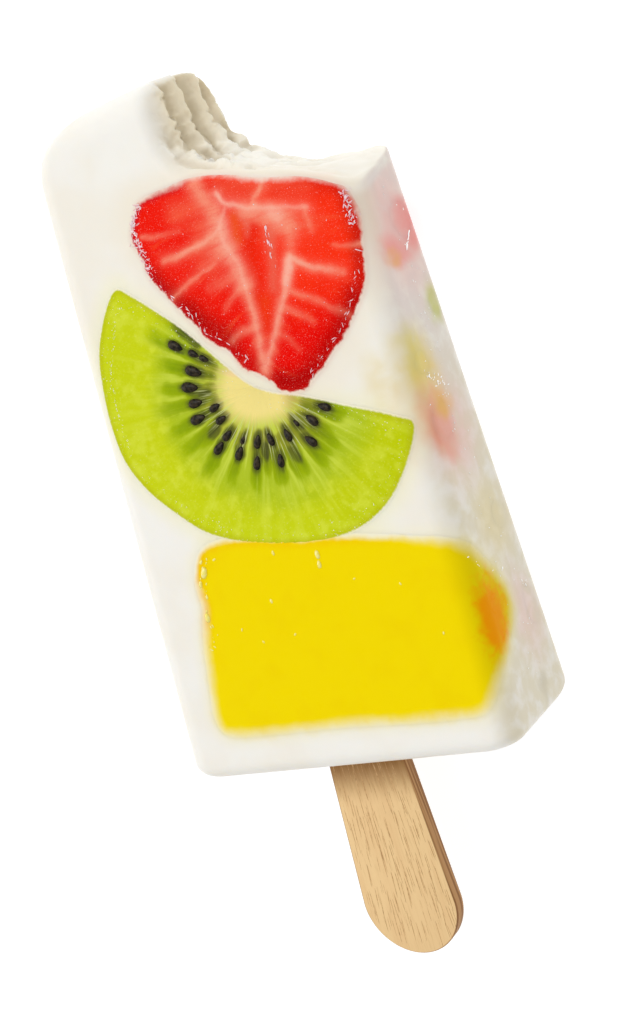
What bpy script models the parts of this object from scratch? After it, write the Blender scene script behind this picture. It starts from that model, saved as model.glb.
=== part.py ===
"""A milk ice lolly with fruit slices set in its front, bitten at one corner of its tip.

It lies on its flat back. +X is its width, +Y runs from the stick to the tip and +Z is up,
out of the front. Lengths are in metres. Points are worked out from the foot of the ice, where
the stick comes out, and an empty carries every piece so that the origin is under the middle.
"""

import math

import bmesh
import bpy
from mathutils import Vector

MM = 0.001

# Ice: a block that narrows and thins from its foot (y = 0) to its tip (y = ICE_LENGTH).
ICE_LENGTH = 85.0 * MM
FOOT_WIDTH = 48.0 * MM
TIP_WIDTH = 43.6 * MM
FOOT_DEPTH = 18.8 * MM
TIP_DEPTH = 11.0 * MM
EDGE_RADIUS = 3.2 * MM
TIP_CORNER = 7.3 * MM
TIP_ROUNDING = 4.1 * MM
TIP_CROWN = 1.2 * MM
CROWN_REACH = 14.0 * MM
FOOT_CORNER = 2.6 * MM
FOOT_ROUNDING = 2.2 * MM

# Bite: where its wall and floor meet the back and the front, from above the tip to the right.
BITE_BACK_MM = (
    (1.5, 91.0), (1.1, 85.0), (0.6, 81.4), (1.4, 78.0), (3.7, 75.0),
    (6.4, 72.7), (10.0, 70.9), (14.4, 69.8), (20.0, 69.3), (27.0, 69.1),
)  # fmt: skip
BITE_FRONT_MM = (
    (-3.0, 91.0), (-2.3, 84.0), (-1.9, 79.4), (-1.4, 76.4), (0.5, 74.0),
    (4.4, 72.5), (9.2, 71.0), (15.0, 69.2), (20.6, 66.3), (27.0, 61.0),
)  # fmt: skip
BITE_LIP = 1.3 * MM
BITE_LIP_FROM = 0.8
TOOTH_RIDGE = 0.3 * MM
BITE_LEVELS = 15

# Stick: it widens towards its round end.
STICK_SHOWN = 28.8 * MM
STICK_HELD = 40.0 * MM
STICK_NECK = 11.0 * MM
STICK_END = 13.7 * MM
STICK_THICKNESS = 2.0 * MM
STICK_X = -1.9 * MM
STICK_RISE = 0.7 * MM

# Fruit: how deep each slice goes in from the front, and the room left round every piece.
GAP = 0.3 * MM
STRAWBERRY_DEPTH = 3.2 * MM
KIWI_DEPTH = 3.0 * MM
MANGO_DEPTH_LEFT = 4.0 * MM
MANGO_DEPTH_RIGHT = 8.4 * MM
SIDE_PIECE_DEPTH = 3.5 * MM
SIDE_SKEW = 0.08
SIDE_LOBE = 0.06
OVERSHOOT = 1.5 * MM

# Strawberry: a heart cut lengthwise, its point towards the stick.
STRAWBERRY_POINTS_MM = (
    (-7.4, 71.4), (-3.6, 72.3), (1.7, 72.1), (8.0, 70.2), (14.3, 68.4), (19.4, 66.6),
    (21.4, 63.2), (21.0, 57.4), (18.0, 51.9), (13.4, 48.1), (10.9, 46.2), (8.2, 45.4),
    (4.9, 47.0), (1.2, 50.0), (-2.2, 54.0), (-5.6, 59.0), (-8.2, 63.6), (-8.7, 68.4),
)  # fmt: skip

# Kiwi: a nearly round slice less the wedge between two cuts that meet under its core.
KIWI_MIDDLE = (2.5 * MM, 50.1 * MM)
KIWI_RADIUS = 22.3 * MM
KIWI_LOBE = 0.85 * MM
KIWI_LOBE_AT = math.radians(198.0)
KIWI_FROM = math.radians(147.0)
KIWI_TO = math.radians(326.0)
KIWI_CUT_MM = (
    (21.7, 38.9), (21.0, 39.4), (16.4, 41.5), (8.6, 44.7), (3.7, 46.6), (-0.8, 50.5),
    (-4.1, 54.5), (-8.5, 59.4), (-13.0, 63.0), (-14.0, 62.9),
)  # fmt: skip

# Mango: a slab whose right end comes through the side of the ice. It narrows as it goes in.
MANGO_CORNERS_MM = ((-16.5, 6.1), (26.0, 4.7), (26.0, 24.6), (-13.7, 30.3))
MANGO_CORNER = 2.4 * MM
MANGO_TAPER = 1.2
MANGO_RINGS = 5
MANGO_LAST_TURN = math.radians(72.0)

# Pieces at the right side: (name, middle y, middle z, half length, half height, colour).
SIDE_PIECES_MM = (
    ("side_strawberry", 60.2, 4.9, 3.6, 3.6, (0.80, 0.16, 0.14)),
    ("side_kiwi_low", 50.0, 3.6, 2.0, 2.3, (0.60, 0.62, 0.30)),
    ("side_kiwi_high", 44.5, 11.0, 2.1, 2.5, (0.66, 0.63, 0.25)),
    ("side_peach", 37.4, 10.6, 3.5, 3.9, (0.82, 0.42, 0.27)),
    ("side_mango", 24.4, 5.2, 2.9, 2.7, (0.84, 0.70, 0.36)),
    ("side_berry", 12.6, 4.9, 3.9, 2.2, (0.78, 0.50, 0.42)),
)

CLOSEST_STATIONS = 0.15 * MM
ARC_STEPS = 6
BITE_STEPS = 3
OUTLINE_STEPS = 4
KIWI_STEPS = 40
SIDE_STEPS = 20

ICE_COLOUR = (0.92, 0.90, 0.84)
WOOD_COLOUR = (0.74, 0.52, 0.30)
STRAWBERRY_COLOUR = (0.86, 0.05, 0.02)
KIWI_COLOUR = (0.48, 0.57, 0.02)
MANGO_COLOUR = (0.87, 0.66, 0.00)
ICE_ROUGHNESS = 0.3
FRUIT_ROUGHNESS = 0.35
WOOD_ROUGHNESS = 0.6


def half_width(y):
    """Half the ice's width at y."""
    return (FOOT_WIDTH + (TIP_WIDTH - FOOT_WIDTH) * y / ICE_LENGTH) / 2


def depth(y):
    """The ice's thickness at y, which is also the height of its front."""
    return FOOT_DEPTH + (TIP_DEPTH - FOOT_DEPTH) * y / ICE_LENGTH


def middle_height(y):
    """The height of the plane half way between back and front."""
    return depth(y) / 2


def inset(distance, radius):
    """How far a rounding of that radius steps in, at a distance from the end it rounds."""
    if distance >= radius:
        return 0.0
    return radius - math.sqrt(max(0.0, radius**2 - (radius - distance) ** 2))


def share(value, low, high):
    """Where value lies between low and high, from 0 to 1."""
    return min(1.0, max(0.0, (value - low) / (high - low)))


def between(before, here, there, after, t):
    """The point at t of a smooth curve from here to there, given the points on either side."""
    return (
        here * (1 + t * t * (1.5 * t - 2.5))
        + there * (t * (0.5 + t * (2 - 1.5 * t)))
        + before * (-0.5 * t * (1 - t) ** 2)
        + after * (-0.5 * t * t * (1 - t))
    )


def smooth_closed(points, steps):
    """A closed curve through the points, with a number of steps from each to the next."""
    count = len(points)
    curve = []
    for i in range(count):
        four = [Vector(points[(i + k) % count]) for k in (-1, 0, 1, 2)]
        curve += [between(*four, step / steps) for step in range(steps)]
    return curve


def smooth_open(points, steps):
    """A curve from the first point to the last, with a number of steps from each to the next."""
    last = len(points) - 1
    curve = []
    for i in range(last):
        four = [Vector(points[min(max(i + k, 0), last)]) for k in (-1, 0, 1, 2)]
        curve += [between(*four, step / steps) for step in range(steps)]
    return curve + [Vector(points[last])]


def rounded_corners(corners, radius, steps=ARC_STEPS):
    """A polygon, taken anticlockwise, with each corner turned into an arc."""
    outline = []
    count = len(corners)
    for i in range(count):
        before, here, after = (Vector(corners[(i + k) % count]) for k in (-1, 0, 1))
        back = (before - here).normalized()
        on = (after - here).normalized()
        half_angle = back.angle(on) / 2
        centre = here + (back + on).normalized() * radius / math.sin(half_angle)
        start = here + back * radius / math.tan(half_angle) - centre
        turn = (math.pi - 2 * half_angle) / steps
        for step in range(steps + 1):
            spin = turn * step
            outline.append(
                centre
                + Vector(
                    (
                        start.x * math.cos(spin) - start.y * math.sin(spin),
                        start.x * math.sin(spin) + start.y * math.cos(spin),
                    )
                )
            )
    return outline


def grown(outline, distance):
    """The anticlockwise outline moved outwards by a distance."""
    moved = []
    count = len(outline)
    for i in range(count):
        before, here, after = (Vector(outline[(i + k) % count]) for k in (-1, 0, 1))
        first = (here - before).normalized()
        second = (after - here).normalized()
        outward = Vector((first.y + second.y, -first.x - second.x)).normalized()
        stretch = max(0.5, outward.dot(Vector((first.y, -first.x))))
        moved.append(here + outward * distance / stretch)
    return moved


def anticlockwise(outline):
    """The same outline, turned round if it runs clockwise."""
    area = sum(a.cross(b) for a, b in zip(outline, outline[1:] + outline[:1], strict=True))
    return outline if area > 0 else outline[::-1]


def add_object(name, mesh, carrier):
    """An object of that mesh, parented to the empty that carries the lolly."""
    obj = bpy.data.objects.new(name, mesh)
    bpy.context.scene.collection.objects.link(obj)
    obj.parent = carrier
    return obj


def loft(name, loops, carrier, crossed_ends=False):
    """A closed solid through loops of the same number of points.

    Each end is one flat face or, with crossed_ends, a row of faces from one half of its loop
    to the other.
    """
    shape = bmesh.new()
    rings = [[shape.verts.new(point) for point in loop] for loop in loops]
    count = len(rings[0])
    for lower, upper in zip(rings, rings[1:], strict=False):
        for i in range(count):
            j = (i + 1) % count
            shape.faces.new((lower[i], lower[j], upper[j], upper[i]))
    for ring in (rings[0], rings[-1]):
        if crossed_ends:
            for i in range(count // 2 - 1):
                shape.faces.new((ring[i], ring[i + 1], ring[-2 - i], ring[-1 - i]))
        else:
            shape.faces.new(ring)
    bmesh.ops.recalc_face_normals(shape, faces=shape.faces)
    mesh = bpy.data.meshes.new(name)
    shape.to_mesh(mesh)
    shape.free()
    return add_object(name, mesh, carrier)


def as_helper(obj):
    """Marks an object that only cuts or limits others."""
    obj.hide_render = True
    obj.display_type = "WIRE"
    return obj


def boolean(obj, other, operation):
    """Adds a Boolean with the other object."""
    modifier = obj.modifiers.new(f"{operation.lower()}_{other.name}", "BOOLEAN")
    modifier.operation = operation
    modifier.object = other
    modifier.solver = "EXACT"


def ice_ring(y):
    """The ice's outline across the lolly at y: along the front, then back along the back."""
    across = half_width(y) - inset(y, FOOT_CORNER) - inset(ICE_LENGTH - y, TIP_CORNER)
    low = inset(y, FOOT_ROUNDING) + inset(ICE_LENGTH - y, TIP_ROUNDING)
    high = depth(y) - low
    radius = min(EDGE_RADIUS, (high - low) / 2)
    arc = [math.pi / 2 * i / ARC_STEPS for i in range(ARC_STEPS + 1)]
    right = [(across - radius * (1 - math.sin(a)), radius * (1 - math.cos(a))) for a in arc]
    left = [(-x, drop) for x, drop in reversed(right)]
    flat = [((across - radius) * (2 * i / ARC_STEPS - 1), 0.0) for i in range(1, ARC_STEPS)]
    row = left + flat + right
    sag = TIP_CROWN * share(y, ICE_LENGTH - CROWN_REACH, ICE_LENGTH) ** 2
    places = [(x, y - sag * (2 * x / FOOT_WIDTH) ** 2, drop) for x, drop in row]
    front = [Vector((x, along, high - drop)) for x, along, drop in places]
    back = [Vector((x, along, low + drop)) for x, along, drop in reversed(places)]
    return front + back


def ice_stations():
    """The places along the lolly where its outline is taken: close together where it rounds."""
    turns = [math.pi / 2 * i / ARC_STEPS for i in range(ARC_STEPS + 1)]
    places = {0.0, ICE_LENGTH}
    for radius in (FOOT_CORNER, FOOT_ROUNDING):
        places |= {radius * (1 - math.cos(turn)) for turn in turns}
    for radius in (TIP_CORNER, TIP_ROUNDING):
        places |= {ICE_LENGTH - radius * (1 - math.cos(turn)) for turn in turns}
    places |= {ICE_LENGTH - CROWN_REACH * i / ARC_STEPS for i in range(ARC_STEPS)}
    apart = []
    for place in sorted(places):
        if not apart or place - apart[-1] > CLOSEST_STATIONS or place == ICE_LENGTH:
            apart.append(place)
    return apart


def make_block(name, carrier):
    """The whole ice block before anything is cut from it."""
    return loft(name, [ice_ring(y) for y in ice_stations()], carrier, crossed_ends=True)


def bite_outline(level):
    """The bite at a level from the back (0) to the front (1), anticlockwise."""
    to_front = share(level, 0.0, 1.0)
    back = smooth_open([(x * MM, y * MM) for x, y in BITE_BACK_MM], BITE_STEPS)
    front = smooth_open([(x * MM, y * MM) for x, y in BITE_FRONT_MM], BITE_STEPS)
    curve = [b.lerp(f, to_front) for b, f in zip(back, front, strict=True)]
    above = ICE_LENGTH + TIP_DEPTH
    outline = [Vector((curve[0].x, above)), *curve, Vector((curve[-1].x, above))]
    lip = BITE_LIP * share(level, BITE_LIP_FROM, 1.1) ** 2
    ridge = TOOTH_RIDGE * math.sin(level * math.pi * (BITE_LEVELS - 1) / 2) ** 2
    return grown(outline, lip + ridge)


def make_bite(carrier):
    """The cutter of the bite, with ridges along its wall and a rounded lip at the front."""
    levels = [-0.2 + 1.4 * i / BITE_LEVELS for i in range(BITE_LEVELS + 1)]
    loops = [[Vector((p.x, p.y, depth(p.y) * level)) for p in bite_outline(level)] for level in levels]
    return as_helper(loft("bite_cutter", loops, carrier))


def stick_outline():
    """The stick from the front, anticlockwise: straight sides that spread to a round end."""
    neck = STICK_NECK / 2
    end = STICK_END / 2
    swell = (end - neck) / (STICK_SHOWN - end)
    held = neck - swell * STICK_HELD
    outline = [Vector((STICK_X + held, STICK_HELD)), Vector((STICK_X - held, STICK_HELD))]
    steps = 3 * ARC_STEPS
    for i in range(steps + 1):
        turn = math.pi + math.pi * i / steps
        x = STICK_X + end * math.cos(turn)
        outline.append(Vector((x, end - STICK_SHOWN + end * math.sin(turn))))
    return outline


def make_stick(name, clearance, carrier):
    """The stick, or its slot with a clearance all round."""
    outline = grown(anticlockwise(stick_outline()), clearance)
    half = STICK_THICKNESS / 2 + clearance
    loops = [
        [Vector((p.x, p.y, middle_height(p.y) + STICK_RISE + side * half)) for p in outline]
        for side in (-1, 1)
    ]
    return loft(name, loops, carrier)


def make_slice(name, outline, front_depth, rings, clearance, carrier):
    """A slice set in the front. Each ring gives a share of front_depth(x) and of the width."""
    edge = grown(anticlockwise(outline), clearance)
    middle = sum(p.y for p in edge) / len(edge)
    loops = []
    for deep, wide in rings:
        squeezed = [Vector((p.x, middle + (p.y - middle) * wide)) for p in edge]
        inward = clearance if deep > 0 else 0.0
        loops.append(
            [Vector((p.x, p.y, depth(p.y) - front_depth(p.x) * deep - inward)) for p in squeezed]
        )
    loops.append([Vector((p.x, p.y, depth(p.y) + OVERSHOOT)) for p in edge])
    return loft(name, loops, carrier)


def make_side_piece(name, middle_y, middle_z, half_length, half_height, clearance, carrier):
    """A lump set in the right side. Its outline is a lopsided oval."""
    inner, outer = [], []
    for i in range(SIDE_STEPS):
        turn = 2 * math.pi * i / SIDE_STEPS
        uneven = 1 + SIDE_SKEW * math.sin(2 * turn + middle_y / MM) + SIDE_LOBE * math.cos(3 * turn)
        y = middle_y + (half_length * uneven + clearance) * math.cos(turn)
        z = middle_z + (half_height * uneven + clearance) * math.sin(turn)
        inner.append(Vector((half_width(y) - SIDE_PIECE_DEPTH - clearance, y, z)))
        outer.append(Vector((half_width(y) + OVERSHOOT, y, z)))
    return loft(name, [inner, outer], carrier)


def strawberry_outline():
    """The heart of the strawberry slice."""
    return smooth_closed([(x * MM, y * MM) for x, y in STRAWBERRY_POINTS_MM], OUTLINE_STEPS)


def kiwi_outline():
    """The round rim of the kiwi slice, then its cut edge."""
    rim = []
    for i in range(KIWI_STEPS + 1):
        turn = KIWI_FROM + (KIWI_TO - KIWI_FROM) * i / KIWI_STEPS
        radius = KIWI_RADIUS + KIWI_LOBE * math.cos(3 * (turn - KIWI_LOBE_AT))
        rim.append(
            Vector(
                (KIWI_MIDDLE[0] + radius * math.cos(turn), KIWI_MIDDLE[1] + radius * math.sin(turn))
            )
        )
    return rim + smooth_open([(x * MM, y * MM) for x, y in KIWI_CUT_MM], OUTLINE_STEPS)


def mango_outline():
    """The four-sided face of the mango slab."""
    return rounded_corners([(x * MM, y * MM) for x, y in MANGO_CORNERS_MM], MANGO_CORNER)


def mango_depth(x):
    """The slab is deeper towards the side that it comes through."""
    left = MANGO_CORNERS_MM[0][0] * MM
    return MANGO_DEPTH_LEFT + (MANGO_DEPTH_RIGHT - MANGO_DEPTH_LEFT) * share(x, left, half_width(0))


def mango_rings():
    """From the slab's narrow inner end out to its full width."""
    turns = [MANGO_LAST_TURN * i / MANGO_RINGS for i in range(MANGO_RINGS, 0, -1)]
    deepest = math.sin(MANGO_LAST_TURN)
    return [(math.sin(turn) / deepest, math.cos(turn) ** MANGO_TAPER) for turn in turns] + [(0.0, 1.0)]


def slice_shapes():
    """Each slice from the front: its name, outline, depth at x, rings and colour."""
    straight = [(1.0, 1.0)]
    return (
        ("strawberry_slice", strawberry_outline(), lambda x: STRAWBERRY_DEPTH, straight, STRAWBERRY_COLOUR),
        ("kiwi_slice", kiwi_outline(), lambda x: KIWI_DEPTH, straight, KIWI_COLOUR),
        ("mango_slab", mango_outline(), mango_depth, mango_rings(), MANGO_COLOUR),
    )


def finish(obj, colour, roughness):
    """Gives a piece its material and smooth shading between its sharp edges."""
    material = bpy.data.materials.new(obj.name)
    material.use_nodes = True
    shader = material.node_tree.nodes["Principled BSDF"]
    shader.inputs["Base Color"].default_value = (*colour, 1.0)
    shader.inputs["Roughness"].default_value = roughness
    shader.inputs["Metallic"].default_value = 0.0
    obj.data.materials.append(material)
    obj.data.shade_smooth()
    obj.data.set_sharp_from_angle(angle=math.radians(35))


def main():
    for obj in list(bpy.data.objects):
        bpy.data.objects.remove(obj)

    carrier = bpy.data.objects.new("lolly", None)
    bpy.context.scene.collection.objects.link(carrier)
    carrier.location.y = (STICK_SHOWN - ICE_LENGTH) / 2

    whole = as_helper(make_block("whole_block", carrier))
    bite = make_bite(carrier)
    ice = make_block("ice_block", carrier)

    front_pockets = []
    for name, outline, front_depth, rings, colour in slice_shapes():
        shape = (outline, front_depth, rings)
        piece = make_slice(name, *shape, 0.0, carrier)
        boolean(piece, whole, "INTERSECT")
        for pocket in front_pockets:
            boolean(piece, pocket, "DIFFERENCE")
        front_pockets.append(as_helper(make_slice(f"{name}_pocket", *shape, GAP, carrier)))
        finish(piece, colour, FRUIT_ROUGHNESS)

    side_pockets = []
    for name, *sizes_mm, colour in SIDE_PIECES_MM:
        sizes = [size * MM for size in sizes_mm]
        piece = make_side_piece(name, *sizes, 0.0, carrier)
        boolean(piece, whole, "INTERSECT")
        for pocket in front_pockets:
            boolean(piece, pocket, "DIFFERENCE")
        side_pockets.append(as_helper(make_side_piece(f"{name}_pocket", *sizes, GAP, carrier)))
        finish(piece, colour, FRUIT_ROUGHNESS)

    stick = make_stick("stick", 0.0, carrier)
    slot = as_helper(make_stick("stick_slot", GAP, carrier))
    finish(stick, WOOD_COLOUR, WOOD_ROUGHNESS)

    for cutter in (bite, slot, *front_pockets, *side_pockets):
        boolean(ice, cutter, "DIFFERENCE")
    finish(ice, ICE_COLOUR, ICE_ROUGHNESS)


if __name__ == "__main__":
    main()
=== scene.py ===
"""The looks of a milk ice lolly with fruit frozen into its front, bitten at one corner.

Sizes inside the classes are in millimetres, measured from the middle of the ice's foot, where the
stick comes out: x across, y towards the tip, z up from the flat back. Meshes are made in metres.
"""

import logging
import math
from dataclasses import dataclass, field
from enum import Enum
from itertools import product
from typing import Callable, Sequence

import bmesh
import bpy
import numpy as np
from mathutils import Matrix, Quaternion, Vector


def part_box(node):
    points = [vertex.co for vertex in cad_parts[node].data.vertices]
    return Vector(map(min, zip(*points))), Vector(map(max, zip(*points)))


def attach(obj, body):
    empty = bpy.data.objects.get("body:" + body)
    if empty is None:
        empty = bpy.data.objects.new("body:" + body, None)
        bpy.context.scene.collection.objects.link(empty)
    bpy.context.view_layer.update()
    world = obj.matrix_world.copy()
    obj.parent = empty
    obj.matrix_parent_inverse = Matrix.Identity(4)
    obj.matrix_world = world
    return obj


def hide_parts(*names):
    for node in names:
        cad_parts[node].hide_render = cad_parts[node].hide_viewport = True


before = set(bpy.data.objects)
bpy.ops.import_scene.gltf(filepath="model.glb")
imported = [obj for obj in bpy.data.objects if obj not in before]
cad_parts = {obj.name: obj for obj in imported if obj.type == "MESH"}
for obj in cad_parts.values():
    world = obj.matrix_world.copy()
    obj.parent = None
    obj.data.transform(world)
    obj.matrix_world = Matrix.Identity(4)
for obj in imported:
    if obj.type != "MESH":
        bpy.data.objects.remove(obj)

logging.basicConfig(level=logging.INFO, format="%(levelname)s %(name)s: %(message)s")
LOG = logging.getLogger("lolly")

MM = 0.001
BODY = "root"
FOOT_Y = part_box("ice_block")[0].y / MM
Colour = tuple[float, float, float]
Point = tuple[float, float]
Field = Callable[[np.ndarray], np.ndarray]


# ---------------------------------------------------------------- numbers and curves


def share(value: np.ndarray, low: float, high: float) -> np.ndarray:
    """Where value lies between low and high, eased at both ends, from 0 to 1."""
    t = np.clip((value - low) / (high - low), 0.0, 1.0)
    return t * t * (3 - 2 * t)


def smooth_curve(points: Sequence[Point], steps: int, closed: bool) -> np.ndarray:
    """A smooth curve through points.

    Args:
        points: The points that it passes through.
        steps: How many pieces lie between one point and the next.
        closed: Whether the last point joins the first.

    Returns:
        The curve's points, one row each.
    """
    p = np.array(points, float)
    count = len(p)
    order = np.arange(count if closed else count - 1)
    corners = []
    for k in (-1, 0, 1, 2):
        at = (order + k) % count if closed else np.clip(order + k, 0, count - 1)
        corners.append(p[at][:, None, :])
    before, here, there, after = corners
    t = (np.arange(steps) / steps)[None, :, None]
    curve = (
        here * (1 + t * t * (1.5 * t - 2.5))
        + there * (t * (0.5 + t * (2 - 1.5 * t)))
        + before * (-0.5 * t * (1 - t) ** 2)
        + after * (-0.5 * t * t * (1 - t))
    ).reshape(-1, p.shape[1])
    return curve if closed else np.vstack([curve, p[-1:]])


def segment_distance(points: np.ndarray, starts: np.ndarray, ends: np.ndarray) -> np.ndarray:
    """Distances in the plane from points to line segments.

    Args:
        points: One row for each point.
        starts: Where each segment starts, for all points alike or one set for each point.
        ends: Where each segment ends, in the same form.

    Returns:
        One row for each point, with its distance to each segment.
    """
    along = ends - starts
    off = points[:, None, :] - starts
    t = np.clip((off * along).sum(-1) / np.maximum((along**2).sum(-1), 1e-12), 0.0, 1.0)
    return np.linalg.norm(off - t[..., None] * along, axis=-1)


def inside_distance(points: np.ndarray, outline: np.ndarray) -> np.ndarray:
    """The distance to a closed outline, positive inside it and negative outside."""
    starts, ends = outline, np.roll(outline, -1, axis=0)
    result = np.empty(len(points))
    for first in range(0, len(points), 8000):
        some = points[first : first + 8000]
        near = segment_distance(some, starts, ends).min(1)
        x, y = some[:, :1], some[:, 1:]
        crosses = (starts[:, 1] > y) != (ends[:, 1] > y)
        rise = np.where(ends[:, 1] == starts[:, 1], 1e-12, ends[:, 1] - starts[:, 1])
        left = x < starts[:, 0] + (y - starts[:, 1]) / rise * (ends[:, 0] - starts[:, 0])
        inside = (crosses & left).sum(1) % 2 == 1
        result[first : first + 8000] = np.where(inside, near, -near)
    return result


def lattice_noise(points: np.ndarray, seed: int) -> np.ndarray:
    """Smooth noise from -1 to 1 with features about one unit wide."""
    cell = np.floor(points).astype(np.int64)
    part = points - cell
    ease = part * part * (3 - 2 * part)
    total = np.zeros(len(points))
    for corner in product((0, 1), repeat=3):
        at = cell + np.array(corner)
        mixed = at[:, 0] * 374761393 + at[:, 1] * 668265263 + at[:, 2] * 2147483647 + seed * 974711
        mixed = (mixed ^ (mixed >> 13)) * 1274126177
        value = ((mixed ^ (mixed >> 16)) & 0xFFFF) / 32767.5 - 1
        weight = np.prod(np.where(np.array(corner) == 1, ease, 1 - ease), axis=1)
        total += weight * value
    return total


def layered_noise(points: np.ndarray, size: float, layers: int, seed: int) -> np.ndarray:
    """Noise made of layers, each half as wide and half as strong as the last."""
    total = np.zeros(len(points))
    strength = 1.0
    for layer in range(layers):
        total += strength * lattice_noise(points / size * 2**layer + 17.3 * layer, seed + layer)
        strength /= 2
    return total


# ---------------------------------------------------------------- meshes


def make_object(name: str, points: np.ndarray, faces: Sequence[Sequence[int]], smooth: bool = True) -> bpy.types.Object:
    """A mesh object at the origin, in the row's frame.

    Args:
        name: The piece's name.
        points: Its points in millimetres from the ice's foot.
        faces: The corners of each face.
        smooth: Whether it is shaded smooth.

    Returns:
        The new object.
    """
    mesh = bpy.data.meshes.new(name)
    placed = (np.asarray(points) + (0.0, FOOT_Y, 0.0)) * MM
    mesh.from_pydata(placed.tolist(), [], [tuple(map(int, face)) for face in faces])
    mesh.validate()
    if smooth:
        mesh.shade_smooth()
    obj = bpy.data.objects.new(name, mesh)
    bpy.context.scene.collection.objects.link(obj)
    return obj


def points_of(mesh: bpy.types.Mesh) -> np.ndarray:
    """The mesh's points, in millimetres from the ice's foot."""
    flat = np.empty(len(mesh.vertices) * 3, np.float32)
    mesh.vertices.foreach_get("co", flat)
    return flat.reshape(-1, 3).astype(float) / MM - (0.0, FOOT_Y, 0.0)


def move_points(mesh: bpy.types.Mesh, points: np.ndarray) -> None:
    """Puts the mesh's points where they are told, in millimetres from the ice's foot."""
    placed = (points + (0.0, FOOT_Y, 0.0)) * MM
    mesh.vertices.foreach_set("co", placed.astype(np.float32).ravel())
    mesh.update()


def store(mesh: bpy.types.Mesh, name: str, values: np.ndarray) -> None:
    """Keeps one number for each point of the mesh under a name."""
    layer = mesh.attributes.new(name, "FLOAT", "POINT")
    layer.data.foreach_set("value", values.astype(np.float32))


def surface_net(values: np.ndarray, low: np.ndarray, step: float) -> tuple[np.ndarray, np.ndarray]:
    """The surface where a grid of values passes zero.

    Args:
        values: The grid, negative inside the solid.
        low: Where its first point lies.
        step: The distance between its points.

    Returns:
        The surface's points and its four-sided faces, which point outwards.
    """
    inside = values < 0
    shape = tuple(n - 1 for n in values.shape)

    def corner(grid: np.ndarray, at: Sequence[int]) -> np.ndarray:
        """The grid as each cell sees it at one of its corners."""
        return grid[tuple(slice(a, a + n) for a, n in zip(at, shape, strict=True))]

    filled = sum(corner(inside, at).astype(np.int8) for at in product((0, 1), repeat=3))
    mixed = (filled > 0) & (filled < 8)
    cells = np.argwhere(mixed)
    number = np.full(shape, -1)
    number[mixed] = np.arange(len(cells))
    total, hits = np.zeros((len(cells), 3)), np.zeros(len(cells))
    for axis in range(3):
        for side in product((0, 1), repeat=2):
            first = list(side)
            first.insert(axis, 0)
            second = list(first)
            second[axis] = 1
            a, b = corner(values, first)[mixed], corner(values, second)[mixed]
            crossed = (a < 0) != (b < 0)
            place = np.tile(np.array(first, float), (len(cells), 1))
            place[:, axis] = np.where(crossed, a / np.where(crossed, a - b, 1.0), 0.0)
            total += place * crossed[:, None]
            hits += crossed
    points = low + step * (cells + total / hits[:, None])
    faces = []
    for axis in range(3):
        u, v = (axis + 1) % 3, (axis + 2) % 3
        shifted = np.roll(inside, -1, axis=axis)
        edges = np.argwhere(inside != shifted)
        edges = edges[(edges[:, axis] < shape[axis]) & (edges[:, u] > 0) & (edges[:, v] > 0)]
        step_u, step_v = np.eye(3, dtype=int)[u], np.eye(3, dtype=int)[v]
        around = [edges - step_u - step_v, edges - step_v, edges, edges - step_u]
        quads = np.stack([number[tuple(at.T)] for at in around], axis=1)
        outward = inside[tuple(edges.T)]
        quads[~outward] = quads[~outward][:, ::-1]
        faces.append(quads)
    return points, np.vstack(faces)


def slide_to_surface(points: np.ndarray, solid: Field, rounds: int, reach: float) -> np.ndarray:
    """Moves points along a solid's own slope until they lie on its surface.

    Args:
        points: The points to move.
        solid: Tells how far outside the solid each point is.
        rounds: How many corrections are made.
        reach: The furthest that one correction goes.

    Returns:
        The moved points.
    """
    probe = 0.02
    for _ in range(rounds):
        here = solid(points)
        slope = np.empty_like(points)
        for axis in range(3):
            nudge = np.zeros(3)
            nudge[axis] = probe
            slope[:, axis] = (solid(points + nudge) - solid(points - nudge)) / (2 * probe)
        push = here / np.maximum((slope**2).sum(1), 0.25)
        step = slope * push[:, None]
        length = np.linalg.norm(step, axis=1)
        step *= (np.minimum(length, reach) / np.maximum(length, 1e-9))[:, None]
        points = points - step
    return points


def refine(mesh: bpy.types.Mesh, chosen: np.ndarray, cuts: int) -> None:
    """Cuts the faces round the chosen points into smaller ones.

    Args:
        mesh: The mesh, which is changed.
        chosen: For each point, whether the faces that it belongs to are cut.
        cuts: How many cuts are made across each of their edges.
    """
    shape = bmesh.new()
    shape.from_mesh(mesh)
    shape.verts.ensure_lookup_table()
    edges = {edge for face in shape.faces if any(chosen[v.index] for v in face.verts) for edge in face.edges}
    bmesh.ops.subdivide_edges(shape, edges=list(edges), cuts=cuts, use_grid_fill=True)
    bmesh.ops.triangulate(shape, faces=[face for face in shape.faces if len(face.verts) > 4])
    shape.to_mesh(mesh)
    shape.free()


# ---------------------------------------------------------------- shader expressions


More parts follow.
